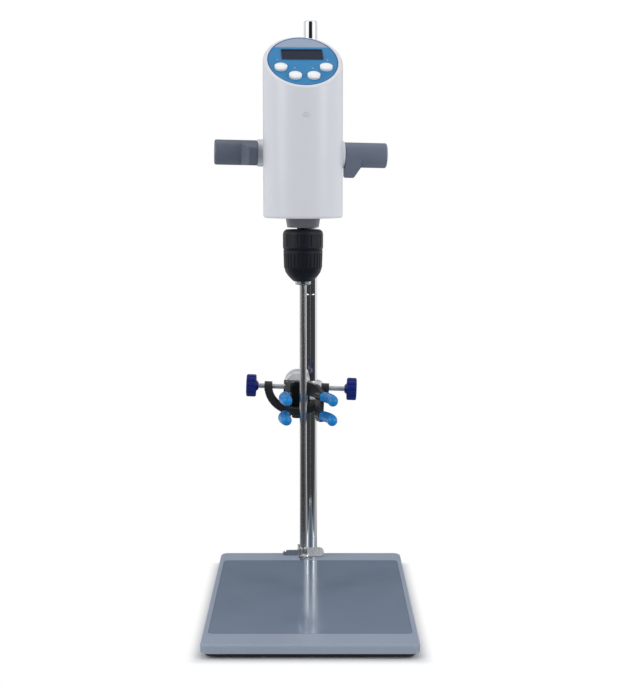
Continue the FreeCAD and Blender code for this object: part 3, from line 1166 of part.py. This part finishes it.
def build_vessel_clamp():
    save("vessel_clamp_boss", clamp_casting())
    rod_tip = ROD_R + PART_GAP
    rod_screw = thumb_screw((0, ROD_Y + rod_tip, CLAMP_SCREW_Z), (0, 1, 0), CLAMP_SCREW_R,
                            CLAMP_BOSS_LENGTH - rod_tip + CLAMP_KNOB_GAP, CLAMP_KNOB_R, CLAMP_KNOB_LENGTH)
    save("vessel_rod_screw", rod_screw)
    arm_tip = CLAMP_ARM_R + PART_GAP
    arm_screw = thumb_screw((CLAMP_OFFSET, ROD_Y, CLAMP_Z - arm_tip), (0, 0, -1), CLAMP_SCREW_R,
                            CLAMP_BOSS_LENGTH - arm_tip + CLAMP_KNOB_GAP, ARM_KNOB_R, CLAMP_KNOB_LENGTH)
    save("vessel_arm_screw", arm_screw)
    arm = cylinder(CLAMP_ARM_R, (CLAMP_OFFSET, HUB_BACK_Y - ARM_GRIP, CLAMP_Z),
                   (CLAMP_OFFSET, ROD_Y + CLAMP_ARM_TAIL, CLAMP_Z))
    arm = arm.makeChamfer(0.8, edges_at(arm, lambda edge: edge.BoundBox.YLength < 0.001))
    save("vessel_arm", rolled(arm))
    save("vessel_yoke", rolled(clamp_yoke()))
    save("jaw_pins", rolled(pivot_pins()))
    for name, side in (("left", -1), ("right", 1)):
        save(name + "_jaw", at_jaw(jaw(side), side))
        sleeves = Part.makeCompound([finger_sleeve(side, z) for z in FINGER_Z])
        save(name + "_finger_sleeves", at_jaw(sleeves, side))
        save(name + "_adjust_screw", rolled(adjust_screw(side)))
        save(name + "_adjust_knob", rolled(adjust_knob(side)))


os.makedirs("parts", exist_ok=True)
build_stand()
build_rod()
build_cross_clamp()
build_housing()
build_panel()
build_side_knobs()
build_bearing_housing()
build_drive()
build_chuck()
build_stirring_shaft()
build_vessel_clamp()
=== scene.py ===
import json
import math

import bpy
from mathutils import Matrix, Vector


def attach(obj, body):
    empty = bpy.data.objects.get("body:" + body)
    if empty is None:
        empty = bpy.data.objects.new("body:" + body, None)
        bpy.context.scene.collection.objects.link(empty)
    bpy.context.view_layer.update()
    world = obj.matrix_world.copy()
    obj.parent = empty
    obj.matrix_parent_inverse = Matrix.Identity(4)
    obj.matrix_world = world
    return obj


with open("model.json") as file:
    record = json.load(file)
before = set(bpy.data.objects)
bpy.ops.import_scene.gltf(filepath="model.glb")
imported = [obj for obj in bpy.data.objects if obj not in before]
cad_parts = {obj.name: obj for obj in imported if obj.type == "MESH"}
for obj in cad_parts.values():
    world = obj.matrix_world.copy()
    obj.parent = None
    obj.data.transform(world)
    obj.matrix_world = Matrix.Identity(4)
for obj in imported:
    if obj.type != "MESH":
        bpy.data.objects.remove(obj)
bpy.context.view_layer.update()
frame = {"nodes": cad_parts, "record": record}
nodes = frame["nodes"]

MM = 0.001
UP = Vector((0.0, 0.0, 1.0))

# Places on the motor head: its axis, the directions across it and to its rear,
# and the slanted panel's own directions. The head stands off the rod, to one side and forward

ROD_PLACE = Vector((0.0, 0.1215, 0.0))
HEAD_ASIDE = 0.017
HEAD_FORWARD = 0.110
HEAD_SWING = math.radians(5.0)
SLANT = math.radians(35.2)
SLANT_CENTRE_Z = 0.546
ACROSS = Vector((math.cos(HEAD_SWING), math.sin(HEAD_SWING), 0.0))
REAR = Vector((-math.sin(HEAD_SWING), math.cos(HEAD_SWING), 0.0))
HEAD_AXIS = ROD_PLACE - HEAD_ASIDE * ACROSS - HEAD_FORWARD * REAR
PANEL_CENTRE = HEAD_AXIS + SLANT_CENTRE_Z * UP
PANEL_UP = REAR * math.cos(SLANT) + UP * math.sin(SLANT)
PANEL_OUT = ACROSS.cross(PANEL_UP)

# The slanted panel's print: an ellipse, the share of its squared radius where the edge starts,
# and how far up the panel the line and the band start

PRINT_HALF_WIDTH = 0.0347
PRINT_HALF_HEIGHT = 0.0445
PRINT_EDGE = (0.925, 0.935)
PRINT_LINE = (0.0251, 0.0254)
PRINT_BAND = (0.0262, 0.0266)

# Round the display, in mm: width, height, corner radius and height over the panel

BEZEL_UP = 0.0118
BEZEL_LOOPS = ((41.0, 19.0, 0.7, 0.2), (41.0, 19.0, 0.7, 0.42), (40.6, 18.6, 0.6, 0.5),
               (39.7, 17.7, 0.5, 0.5), (39.3, 17.3, 0.4, 0.42), (39.3, 17.3, 0.4, 0.2))
CORNER_STEPS = 5

# Marks above the buttons, in mm: place on the panel and outline, then size and height of each loop

BAR = ((-1.3, -0.25), (1.3, -0.25), (1.3, 0.25), (-1.3, 0.25))
POINT_DOWN = ((-1.1, 0.7), (0.0, -0.8), (1.1, 0.7))
POINT_UP = ((-1.1, -0.7), (1.1, -0.7), (0.0, 0.8))
SQUARE = ((-0.7, -0.7), (0.7, -0.7), (0.7, 0.7), (-0.7, 0.7))
MARKS = (("outer_left", -24.6, 0.8, BAR), ("inner_left", -9.0, -14.4, POINT_DOWN),
         ("inner_right", 8.8, -14.4, POINT_UP), ("outer_right", 24.4, 1.0, SQUARE))
MARK_LOOPS = ((1.0, 0.2), (1.0, 0.34), (0.85, 0.36))

# Rings on the service plug's face, in mm: outer radius, inner radius and height

PLUG_FACE = 0.03975
PLUG_Z = 0.493
PLUG_RINGS = (("plug_lip", 2.3, 1.9, 0.16), ("plug_dimple", 0.9, 0.6, 0.1))
RING_FOOT = -0.1
RING_SHOULDER = 0.6
RING_SIDES = 36

# The vessel clamp's screws: their roll and their thread

SCREW_ROLL = math.radians(2.1)
SCREW_AXIS = Vector((math.cos(SCREW_ROLL), 0.0, -math.sin(SCREW_ROLL)))
THREAD_PITCH = 0.0008
THREAD_DEPTH = 0.00003
THREAD_STRENGTH = 0.2

# Textures: how rough their noise is, and the stretch that turns it into fine tool lines

NOISE_ROUGHNESS = 0.55
EVEN = (1.0, 1.0, 1.0)
UP_LINES = (1.0, 1.0, 0.03)
RING_LINES = (0.05, 0.05, 1.0)

# What metal sees: how bright the room is in front, at the sides, behind and above

FRONT_GLOW = 0.018
FRONT_EDGE = (-0.93, -0.80)
SIDE_GLOW = 0.9
REAR_GLOW = 0.1
REAR_EDGE = (0.88, 0.96)
CEILING_GLOW = 0.2
CEILING_EDGE = (0.35, 0.8)
FILL = 0.42
FILL_COLOUR = (0.97, 0.98, 1.0, 1.0)
WHITE = (1.0, 1.0, 1.0, 1.0)

# Floor: it turns to plain white within FLOOR_FADE of the stand's plate, which has this middle and
# these half sizes. In metal it is dim in front and bright from FLOOR_GLOW_TO on

FLOOR_REACH = 9.0
FLOOR_COLOUR = (0.90, 0.90, 0.905, 1.0)
FLOOR_FADE = 0.014
PLATE_MIDDLE = (0.0, -0.0095, 0.0)
PLATE_HALVES = (0.1, 0.15, 0.0)
FLOOR_GLOW_FROM = -0.1
FLOOR_GLOW_TO = 0.5
FLOOR_FRONT_GLOW = 0.05

# Lamps: place, point they face, size and power

LAMPS = (("left_box", (-1.3, -0.7, 1.02), (0.0, 0.0, 0.35), (0.7, 1.3), 9.5),
         ("right_box", (1.3, -0.7, 1.02), (0.0, 0.0, 0.35), (0.7, 1.3), 9.5),
         ("top_box", (0.0, 0.3, 1.7), (0.0, 0.0, 0.2), (1.4, 1.0), 5.0))

# Camera

SENSOR = 36.0
LENS = 71.37
CLIP_NEAR = 0.05
CLIP_FAR = 30.0
CAMERA_PLACE = (0.0021, -1.34995, 0.44070)
CAMERA_DOWN = 7.3128


# Colours are written as they show on screen and turned into linear values here


def linear(hex_colour):
    values = []
    for start in (0, 2, 4):
        value = int(hex_colour[start:start + 2], 16) / 255.0
        values.append(value / 12.92 if value <= 0.04045 else ((value + 0.055) / 1.055) ** 2.4)
    return (values[0], values[1], values[2], 1.0)


def scaled(colour, factor):
    return tuple(min(value * factor, 1.0) for value in colour[:3]) + (1.0,)


class Finish:
    """A procedural material, built around one Principled shader."""

    def __init__(self, name, metallic=0.0, coat=0.0, coat_roughness=0.1, specular=0.5):
        self.material = bpy.data.materials.new(name)
        self.material.use_nodes = True
        self.tree = self.material.node_tree
        self.tree.nodes.clear()
        self.shader = self.add("ShaderNodeBsdfPrincipled")
        output = self.add("ShaderNodeOutputMaterial")
        self.join(self.shader, "BSDF", output, "Surface")
        self.shader.inputs["Metallic"].default_value = metallic
        self.shader.inputs["Coat Weight"].default_value = coat
        self.shader.inputs["Coat Roughness"].default_value = coat_roughness
        self.shader.inputs["Specular IOR Level"].default_value = specular
        self.place = self.add("ShaderNodeTexCoord")
        self.last_bump = None

    def add(self, kind):
        return self.tree.nodes.new(kind)

    def join(self, source, out_name, target, in_name):
        self.tree.links.new(source.outputs[out_name], target.inputs[in_name])

    def noise(self, scale, detail=3.0, stretch=EVEN):
        mapping = self.add("ShaderNodeMapping")
        mapping.inputs["Scale"].default_value = stretch
        self.join(self.place, "Object", mapping, "Vector")
        noise = self.add("ShaderNodeTexNoise")
        noise.inputs["Scale"].default_value = scale
        noise.inputs["Detail"].default_value = detail
        noise.inputs["Roughness"].default_value = NOISE_ROUGHNESS
        self.join(mapping, "Vector", noise, "Vector")
        return noise

    def spread(self, source, out_name, low, high, from_low=0.3, from_high=0.7):
        spread = self.add("ShaderNodeMapRange")
        spread.inputs["From Min"].default_value = from_low
        spread.inputs["From Max"].default_value = from_high
        spread.inputs["To Min"].default_value = low
        spread.inputs["To Max"].default_value = high
        self.join(source, out_name, spread, "Value")
        return spread

    def worked(self, operation, source, value=None):
        """A value worked out from a node's Value, and a second number where one is needed."""
        node = self.add("ShaderNodeMath")
        node.operation = operation
        self.join(source, "Value", node, 0)
        if value is not None:
            node.inputs[1].default_value = value
        return node

    def along(self, source, out_name, direction):
        """How far a place lies along a direction."""
        node = self.add("ShaderNodeVectorMath")
        node.operation = "DOT_PRODUCT"
        node.inputs[1].default_value = direction
        self.join(source, out_name, node, 0)
        return node

    def mixed(self, factor, first, second):
        """Mix of two colours by a spread. first and second are colours or (node, output)."""
        mix = self.add("ShaderNodeMix")
        mix.data_type = "RGBA"
        self.tree.links.new(factor.outputs["Result"], mix.inputs[0])
        for index, value in ((6, first), (7, second)):
            if isinstance(value[0], bpy.types.Node):
                self.tree.links.new(value[0].outputs[value[1]], mix.inputs[index])
            else:
                mix.inputs[index].default_value = value
        return (mix, 2)

    def paint(self, mix):
        self.tree.links.new(mix[0].outputs[mix[1]], self.shader.inputs["Base Color"])

    def colour(self, first, second, scale, detail=3.0, stretch=EVEN):
        factor = self.spread(self.noise(scale, detail, stretch), "Fac", 0.0, 1.0)
        self.paint(self.mixed(factor, first, second))

    def rough(self, rough, scale, detail=3.0, stretch=EVEN):
        spread = self.spread(self.noise(scale, detail, stretch), "Fac", rough[0], rough[1])
        self.join(spread, "Result", self.shader, "Roughness")

    def bump(self, source, out_name, distance, strength=1.0):
        bump = self.add("ShaderNodeBump")
        bump.inputs["Distance"].default_value = distance
        bump.inputs["Strength"].default_value = strength
        self.join(source, out_name, bump, "Height")
        if self.last_bump is not None:
            self.join(self.last_bump, "Normal", bump, "Normal")
        self.last_bump = bump
        self.join(bump, "Normal", self.shader, "Normal")

    def grain(self, scale, distance, detail=2.0, stretch=EVEN):
        self.bump(self.noise(scale, detail, stretch), "Fac", distance)


def moulded(name, hex_colour, variation=0.06, rough=(0.32, 0.42), grain=0.00002,
            grain_scale=2600.0, specular=0.5):
    """Injection-moulded plastic: an even colour with slow drift, and a fine spark-eroded grain."""
    base = linear(hex_colour)
    finish = Finish(name, specular=specular)
    darker, lighter = scaled(base, 1.0 - variation), scaled(base, 1.0 + variation)
    finish.colour(darker, lighter, scale=22.0, detail=4.0)
    finish.rough(rough, scale=60.0, detail=4.0)
    finish.grain(grain_scale, grain)
    return finish.material


def painted(name, hex_colour, rough, grain=0.00003, grain_scale=1400.0, coat=0.0):
    """Stoved paint: fine grain over a slight orange peel."""
    base = linear(hex_colour)
    finish = Finish(name, coat=coat, coat_roughness=0.06)
    finish.colour(scaled(base, 0.96), scaled(base, 1.04), scale=9.0, detail=6.0)
    finish.rough(rough, scale=35.0, detail=5.0)
    finish.grain(grain_scale, grain, detail=3.0)
    finish.grain(scale=260.0, distance=0.00003, detail=1.0)
    return finish.material


def metal(name, hex_colour, rough, lines=EVEN):
    """Machined metal: fine tool lines along one direction and slow changes of colour and gloss."""
    base = linear(hex_colour)
    finish = Finish(name, metallic=1.0)
    finish.colour(scaled(base, 0.94), scaled(base, 1.06), scale=40.0, detail=5.0, stretch=lines)
    finish.rough(rough, scale=450.0, detail=4.0, stretch=lines)
    finish.grain(scale=900.0, distance=0.0000008, detail=3.0, stretch=lines)
    return finish.material


def chrome():
    base = linear("e4e6e8")
    finish = Finish("rod_chrome", metallic=1.0)
    finish.colour(scaled(base, 0.95), base, scale=30.0)
    finish.rough((0.04, 0.10), scale=220.0, detail=5.0, stretch=UP_LINES)
    finish.grain(scale=1500.0, distance=0.0000004, stretch=UP_LINES)
    return finish.material


def rubber_like(name, hex_colour, rough, coat=0.0):
    base = linear(hex_colour)
    finish = Finish(name, coat=coat, coat_roughness=0.2, specular=0.45)
    finish.colour(scaled(base, 0.9), scaled(base, 1.1), scale=45.0, detail=4.0)
    finish.rough(rough, scale=80.0, detail=4.0)
    finish.grain(scale=500.0, distance=0.00003)
    return finish.material


def cast(name, hex_colour, metallic, rough):
    """Die-cast metal with a pebbly skin."""
    base = linear(hex_colour)
    finish = Finish(name, metallic=metallic)
    finish.colour(scaled(base, 0.86), scaled(base, 1.08), scale=90.0, detail=6.0)
    finish.rough(rough, scale=160.0, detail=5.0)
    finish.grain(scale=900.0, distance=0.00005, detail=4.0)
    return finish.material


def overlay():
    """Printed film on the slanted panel: blue field, dark blue edge, grey-blue band at the top."""
    finish = Finish("overlay_blue", specular=0.15)
    relative = finish.add("ShaderNodeVectorMath")
    relative.operation = "SUBTRACT"
    relative.inputs[1].default_value = PANEL_CENTRE
    finish.join(finish.place, "Object", relative, 0)
    sideways = finish.along(relative, "Vector", ACROSS)
    height = finish.along(relative, "Vector", PANEL_UP)
    squares = []
    for distance, half in ((sideways, PRINT_HALF_WIDTH), (height, PRINT_HALF_HEIGHT)):
        share = finish.worked("ABSOLUTE", finish.worked("DIVIDE", distance, half))
        squares.append(finish.worked("POWER", share, 2.0))
    total = finish.worked("ADD", squares[0])
    finish.join(squares[1], "Value", total, 1)
    edge = finish.spread(total, "Value", 0.0, 1.0, *PRINT_EDGE)
    band = finish.spread(height, "Value", 0.0, 1.0, *PRINT_BAND)
    line = finish.spread(height, "Value", 0.0, 1.0, *PRINT_LINE)
    drift = finish.spread(finish.noise(scale=55.0, detail=4.0), "Fac", 0.0, 1.0)
    blue = finish.mixed(drift, linear("257cb2"), linear("2983ba"))
    with_line = finish.mixed(line, blue, linear("6a93b8"))
    with_band = finish.mixed(band, with_line, linear("96a6bc"))
    finish.paint(finish.mixed(edge, with_band, linear("28609a")))
    finish.rough((0.28, 0.36), scale=90.0)
    finish.grain(scale=3800.0, distance=0.000008)
    return finish.material


def threaded(name, axis):
    """Steel screw with its thread as a fine wave along its own axis."""
    finish = Finish(name, metallic=0.7)
    finish.colour(linear("d2d5d9"), linear("e2e4e8"), scale=60.0, detail=2.0)
    finish.rough((0.28, 0.38), scale=200.0, detail=2.0)
    along = finish.along(finish.place, "Object", axis)
    turns = finish.worked("MULTIPLY", along, 2.0 * math.pi / THREAD_PITCH)
    finish.bump(finish.worked("SINE", turns), "Value", THREAD_DEPTH, THREAD_STRENGTH)
    return finish.material


# After its colour a moulded one takes variation, roughness, grain depth, grain scale and specular,
# a painted one roughness, grain depth, grain scale and coat

finishes = {
    "plate_paint": painted("plate_paint", "99a5b8", (0.36, 0.48)),
    "panel_gloss": painted("panel_gloss", "76869c", (0.12, 0.18), 0.000008, 900.0, 0.15),
    "pan_black": painted("pan_black", "17181c", (0.4, 0.55)),
    "foot_rubber": rubber_like("foot_rubber", "1d1d1f", (0.6, 0.75)),
    "small_steel": metal("small_steel", "b4b6b8", (0.22, 0.36)),
    "rod_chrome": chrome(),
    "cross_casting": cast("cross_casting", "3b3e44", 0.0, (0.4, 0.55)),
    "screw_knob": moulded("screw_knob", "202226", 0.1, (0.38, 0.5)),
    "shell_white": moulded("shell_white", "dcdfe5", 0.015, (0.3, 0.36), 0.000012, 3000.0),
    "plug_grey": moulded("plug_grey", "dcdee2", 0.02),
    "inlet_black": moulded("inlet_black", "1b1b1e", 0.1),
    "lid_white": moulded("lid_white", "dcdfe5", 0.015, (0.3, 0.36), 0.000012, 3000.0),
    "overlay_blue": overlay(),
    "window_dark": moulded("window_dark", "0b1730", 0.12, (0.12, 0.18), 0.000002, specular=0.08),
    "board_green": moulded("board_green", "1d5a38", 0.15, (0.35, 0.5)),
    "switch_black": moulded("switch_black", "202020", 0.1),
    "button_white": moulded("button_white", "fafbfb", 0.008, (0.28, 0.34), 0.000008),
    "knob_slate": moulded("knob_slate", "5f6877", 0.07, (0.42, 0.52), 0.00003, 1800.0),
    "knob_grey": moulded("knob_grey", "6f788a", 0.07, (0.42, 0.52), 0.00003, 1800.0),
    "collar_grey": painted("collar_grey", "6a6d72", (0.3, 0.42)),
    "nut_aluminium": metal("nut_aluminium", "c9cbcd", (0.28, 0.4), RING_LINES),
    "motor_steel": metal("motor_steel", "a0a2a6", (0.3, 0.45), UP_LINES),
    "rotor_steel": metal("rotor_steel", "7b7d80", (0.35, 0.5), RING_LINES),
    "spindle_black": metal("spindle_black", "26272a", (0.25, 0.4), RING_LINES),
    "chuck_black": moulded("chuck_black", "131823", 0.12, (0.4, 0.52), 0.00003, 1600.0, 0.28),
    "core_steel": metal("core_steel", "b9bbbd", (0.18, 0.3), RING_LINES),
    "shaft_steel": metal("shaft_steel", "cdced0", (0.2, 0.3), UP_LINES),
    "boss_grey": cast("boss_grey", "dddee1", 0.2, (0.32, 0.46)),
    "yoke_nickel": cast("yoke_nickel", "2a2b2e", 0.0, (0.3, 0.42)),
    "finger_blue": rubber_like("finger_blue", "0682ce", (0.34, 0.44), 0.08),
    "knob_blue": moulded("knob_blue", "0f2274", 0.1, (0.3, 0.4), specular=0.3),
}

slot_of = {entry["node"]: entry["material_slot"] for entry in frame["record"]["subparts"]}
for node_name, node in nodes.items():
    material = finishes[slot_of[node_name]]
    for index in range(len(node.data.materials)):
        node.data.materials[index] = material
    if not node.data.materials:
        node.data.materials.append(material)

screw_steel = threaded("screw_thread", SCREW_AXIS)
for node_name in ("left_adjust_screw", "right_adjust_screw"):
    nodes[node_name].data.materials[0] = screw_steel


# Small pieces on the motor head


def link(thing):
    bpy.context.scene.collection.objects.link(thing)
    return thing


def skinned(name, loops, place, directions, capped):
    """Mesh through loops of points in mm, all with equal counts.

    A capped one is closed by its two end loops. Another runs round, from last loop to first.
    """
    across, up, out = directions
    points = [place + (across * x + up * y + out * z) * MM for loop in loops for x, y, z in loop]
    count = len(loops[0])
    faces = []
    for level in range(len(loops) - 1 if capped else len(loops)):
        here, there = level * count, (level + 1) % len(loops) * count
        for index in range(count):
            after = (index + 1) % count
            faces.append((here + index, here + after, there + after, there + index))
    if capped:
        faces.append(tuple(reversed(range(count))))
        faces.append(tuple((len(loops) - 1) * count + index for index in range(count)))
    mesh = bpy.data.meshes.new(name)
    mesh.from_pydata(points, [], faces)
    mesh.update()
    return link(bpy.data.objects.new(name, mesh))


def on_head(piece, material):
    piece.data.materials.append(material)
    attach(piece, "head")


def rounded_box(width, height, corner, z):
    points = []
    for turn in range(4):
        side_x = 1 if turn in (0, 3) else -1
        side_y = 1 if turn in (0, 1) else -1
        for step in range(CORNER_STEPS + 1):
            angle = math.radians(90.0 * (turn + step / CORNER_STEPS))
            points.append((side_x * (width / 2 - corner) + corner * math.cos(angle),
                           side_y * (height / 2 - corner) + corner * math.sin(angle), z))
    return points


def circle(radius, z):
    angles = [2 * math.pi * index / RING_SIDES for index in range(RING_SIDES)]
    return [(radius * math.cos(angle), radius * math.sin(angle), z) for angle in angles]


def window_bezel():
    """Thin dark rim printed and moulded round the display."""
    loops = [rounded_box(*sizes) for sizes in BEZEL_LOOPS]
    place = PANEL_CENTRE + PANEL_UP * BEZEL_UP
    bezel = skinned("window_bezel", loops, place, (ACROSS, PANEL_UP, PANEL_OUT), False)
    ink = moulded("bezel_ink", "0e1e3c", 0.1, (0.3, 0.4), 0.00001, specular=0.2)
    on_head(bezel, ink)


def button_marks():
    """A small plain mark above each button."""
    ink = moulded("mark_ink", "b9cde0", 0.04, (0.4, 0.5), 0.00001)
    for name, x, y, outline in MARKS:
        loops = [[(px * size, py * size, z) for px, py in outline] for size, z in MARK_LOOPS]
        place = PANEL_CENTRE + (ACROSS * x + PANEL_UP * y) * MM
        mark = skinned("mark_" + name, loops, place, (ACROSS, PANEL_UP, PANEL_OUT), True)
        on_head(mark, ink)


def plug_rings():
    """Raised lip on the plug's face, with a small dimple's rim in its middle."""
    shadow = moulded("plug_shadow", "c6c8cd", 0.05, (0.35, 0.45))
    place = HEAD_AXIS - REAR * PLUG_FACE + UP * PLUG_Z
    for name, outer, inner, proud in PLUG_RINGS:
        loops = [circle(outer, RING_FOOT), circle(outer, proud * RING_SHOULDER),
                 circle((outer + inner) / 2, proud), circle(inner, proud * RING_SHOULDER),
                 circle(inner, RING_FOOT)]
        ring = skinned(name, loops, place, (ACROSS, UP, -REAR), False)
        on_head(ring, shadow)


window_bezel()
button_marks()
plug_rings()


# Floor, backdrop and light


def ramp(tree, value, edges, start, end, smooth=True):
    """start up to the first edge, end from the second one on."""
    node = tree.nodes.new("ShaderNodeMapRange")
    if smooth:
        node.interpolation_type = "SMOOTHSTEP"
    for name, number in zip(("From Min", "From Max", "To Min", "To Max"), (*edges, start, end)):
        node.inputs[name].default_value = number
    tree.links.new(value, node.inputs["Value"])
    return node.outputs["Result"]


def worked(tree, operation, first, second):
    node = tree.nodes.new("ShaderNodeMath")
    node.operation = operation
    tree.links.new(first, node.inputs[0])
    tree.links.new(second, node.inputs[1])
    return node.outputs["Value"]


def mixed(tree, factor, first, second):
    node = tree.nodes.new("ShaderNodeMixShader")
    tree.links.new(factor, node.inputs["Fac"])
    tree.links.new(first, node.inputs[1])
    tree.links.new(second, node.inputs[2])
    return node.outputs["Shader"]


def parted(tree, vector):
    node = tree.nodes.new("ShaderNodeSeparateXYZ")
    tree.links.new(vector, node.inputs["Vector"])
    return node.outputs


def background(tree, colour, strength=1.0):
    node = tree.nodes.new("ShaderNodeBackground")
    node.inputs["Color"].default_value = colour
    node.inputs["Strength"].default_value = strength
    return node


def rear_flag(tree, direction):
    """1 all round, and REAR_GLOW in a narrow band straight behind.

    It keeps a dark line on the metal for an eye behind the object too.
    """
    unit = tree.nodes.new("ShaderNodeVectorMath")
    unit.operation = "NORMALIZE"
    tree.links.new(direction, unit.inputs[0])
    return ramp(tree, parted(tree, unit.outputs["Vector"])["Y"], REAR_EDGE, 1.0, REAR_GLOW)


def distance_from_plate(tree, place):
    steps = (("SUBTRACT", PLATE_MIDDLE), ("ABSOLUTE", None), ("SUBTRACT", PLATE_HALVES),
             ("MAXIMUM", (0.0, 0.0, 0.0)), ("LENGTH", None))
    for operation, value in steps:
        step = tree.nodes.new("ShaderNodeVectorMath")
        step.operation = operation
        tree.links.new(place, step.inputs[0])
        if value is not None:
            step.inputs[1].default_value = value
        place = step.outputs["Value" if operation == "LENGTH" else "Vector"]
    return place


def studio_floor():
    """Pale floor that keeps the object's shadow and turns plain white away from the plate.

    In metal its front part is dim, as the dark studio in front of the object is.
    """
    far = FLOOR_REACH
    mesh = bpy.data.meshes.new("studio_floor")
    corners = [(-far, -far, 0), (far, -far, 0), (far, far, 0), (-far, far, 0)]
    mesh.from_pydata(corners, [], [(0, 1, 2, 3)])
    floor = link(bpy.data.objects.new("studio_floor", mesh))
    material = bpy.data.materials.new("studio_floor")
    material.use_nodes = True
    tree = material.node_tree
    tree.nodes.clear()
    output = tree.nodes.new("ShaderNodeOutputMaterial")
    diffuse = tree.nodes.new("ShaderNodeBsdfDiffuse")
    diffuse.inputs["Color"].default_value = FLOOR_COLOUR
    place = tree.nodes.new("ShaderNodeTexCoord").outputs["Object"]
    path = tree.nodes.new("ShaderNodeLightPath").outputs
    edges = (FLOOR_GLOW_FROM, FLOOR_GLOW_TO)
    lit = ramp(tree, parted(tree, place)["Y"], edges, FLOOR_FRONT_GLOW, 1.0, smooth=False)
    lit = worked(tree, "MULTIPLY", lit, rear_flag(tree, place))
    white = tree.nodes.new("ShaderNodeEmission")
    tree.links.new(worked(tree, "MAXIMUM", path["Is Camera Ray"], lit), white.inputs["Strength"])
    fade = ramp(tree, distance_from_plate(tree, place), (0.0, FLOOR_FADE), 0.0, 1.0)
    seen = worked(tree, "MAXIMUM", path["Is Camera Ray"], path["Is Glossy Ray"])
    share = worked(tree, "MULTIPLY", fade, seen)
    surface = mixed(tree, share, diffuse.outputs["BSDF"], white.outputs["Emission"])
    tree.links.new(surface, output.inputs["Surface"])
    mesh.materials.append(material)


def studio_world():
    """White to the eye. Metal sees a white room, dim above, dark in front and straight behind."""
    world = bpy.data.worlds.new("studio")
    world.use_nodes = True
    tree = world.node_tree
    tree.nodes.clear()
    output = tree.nodes.new("ShaderNodeOutputWorld")
    path = tree.nodes.new("ShaderNodeLightPath").outputs
    place = tree.nodes.new("ShaderNodeTexCoord").outputs["Generated"]
    sides = parted(tree, place)
    front = ramp(tree, sides["Y"], FRONT_EDGE, FRONT_GLOW, SIDE_GLOW)
    above = ramp(tree, sides["Z"], CEILING_EDGE, 1.0, CEILING_GLOW)
    glow = worked(tree, "MULTIPLY", worked(tree, "MULTIPLY", front, above), rear_flag(tree, place))
    mirror = background(tree, WHITE)
    tree.links.new(glow, mirror.inputs["Strength"])
    fill = background(tree, FILL_COLOUR, FILL)
    white = background(tree, WHITE)
    lit = mixed(tree, path["Is Glossy Ray"], fill.outputs[0], mirror.outputs[0])
    clear = worked(tree, "MAXIMUM", path["Is Camera Ray"], path["Is Transmission Ray"])
    tree.links.new(mixed(tree, clear, lit, white.outputs[0]), output.inputs["Surface"])
    bpy.context.scene.world = world


def softbox(name, place, target, size, power):
    light = bpy.data.lights.new(name, "AREA")
    light.shape = "RECTANGLE"
    light.size, light.size_y = size
    light.energy = power
    thing = link(bpy.data.objects.new(name, light))
    direction = Vector(target) - Vector(place)
    thing.rotation_euler = direction.to_track_quat("-Z", "Y").to_euler()
    thing.location = place


studio_floor()
studio_world()
for lamp in LAMPS:
    softbox(*lamp)

camera = bpy.data.cameras.new("camera")
camera.sensor_width = SENSOR
camera.lens = LENS
camera.clip_start = CLIP_NEAR
camera.clip_end = CLIP_FAR
viewer = link(bpy.data.objects.new("camera", camera))
viewer.location = CAMERA_PLACE
viewer.rotation_euler = (math.radians(90.0 - CAMERA_DOWN), 0.0, 0.0)
bpy.context.scene.camera = viewer
bpy.context.scene.view_settings.view_transform = "Standard"
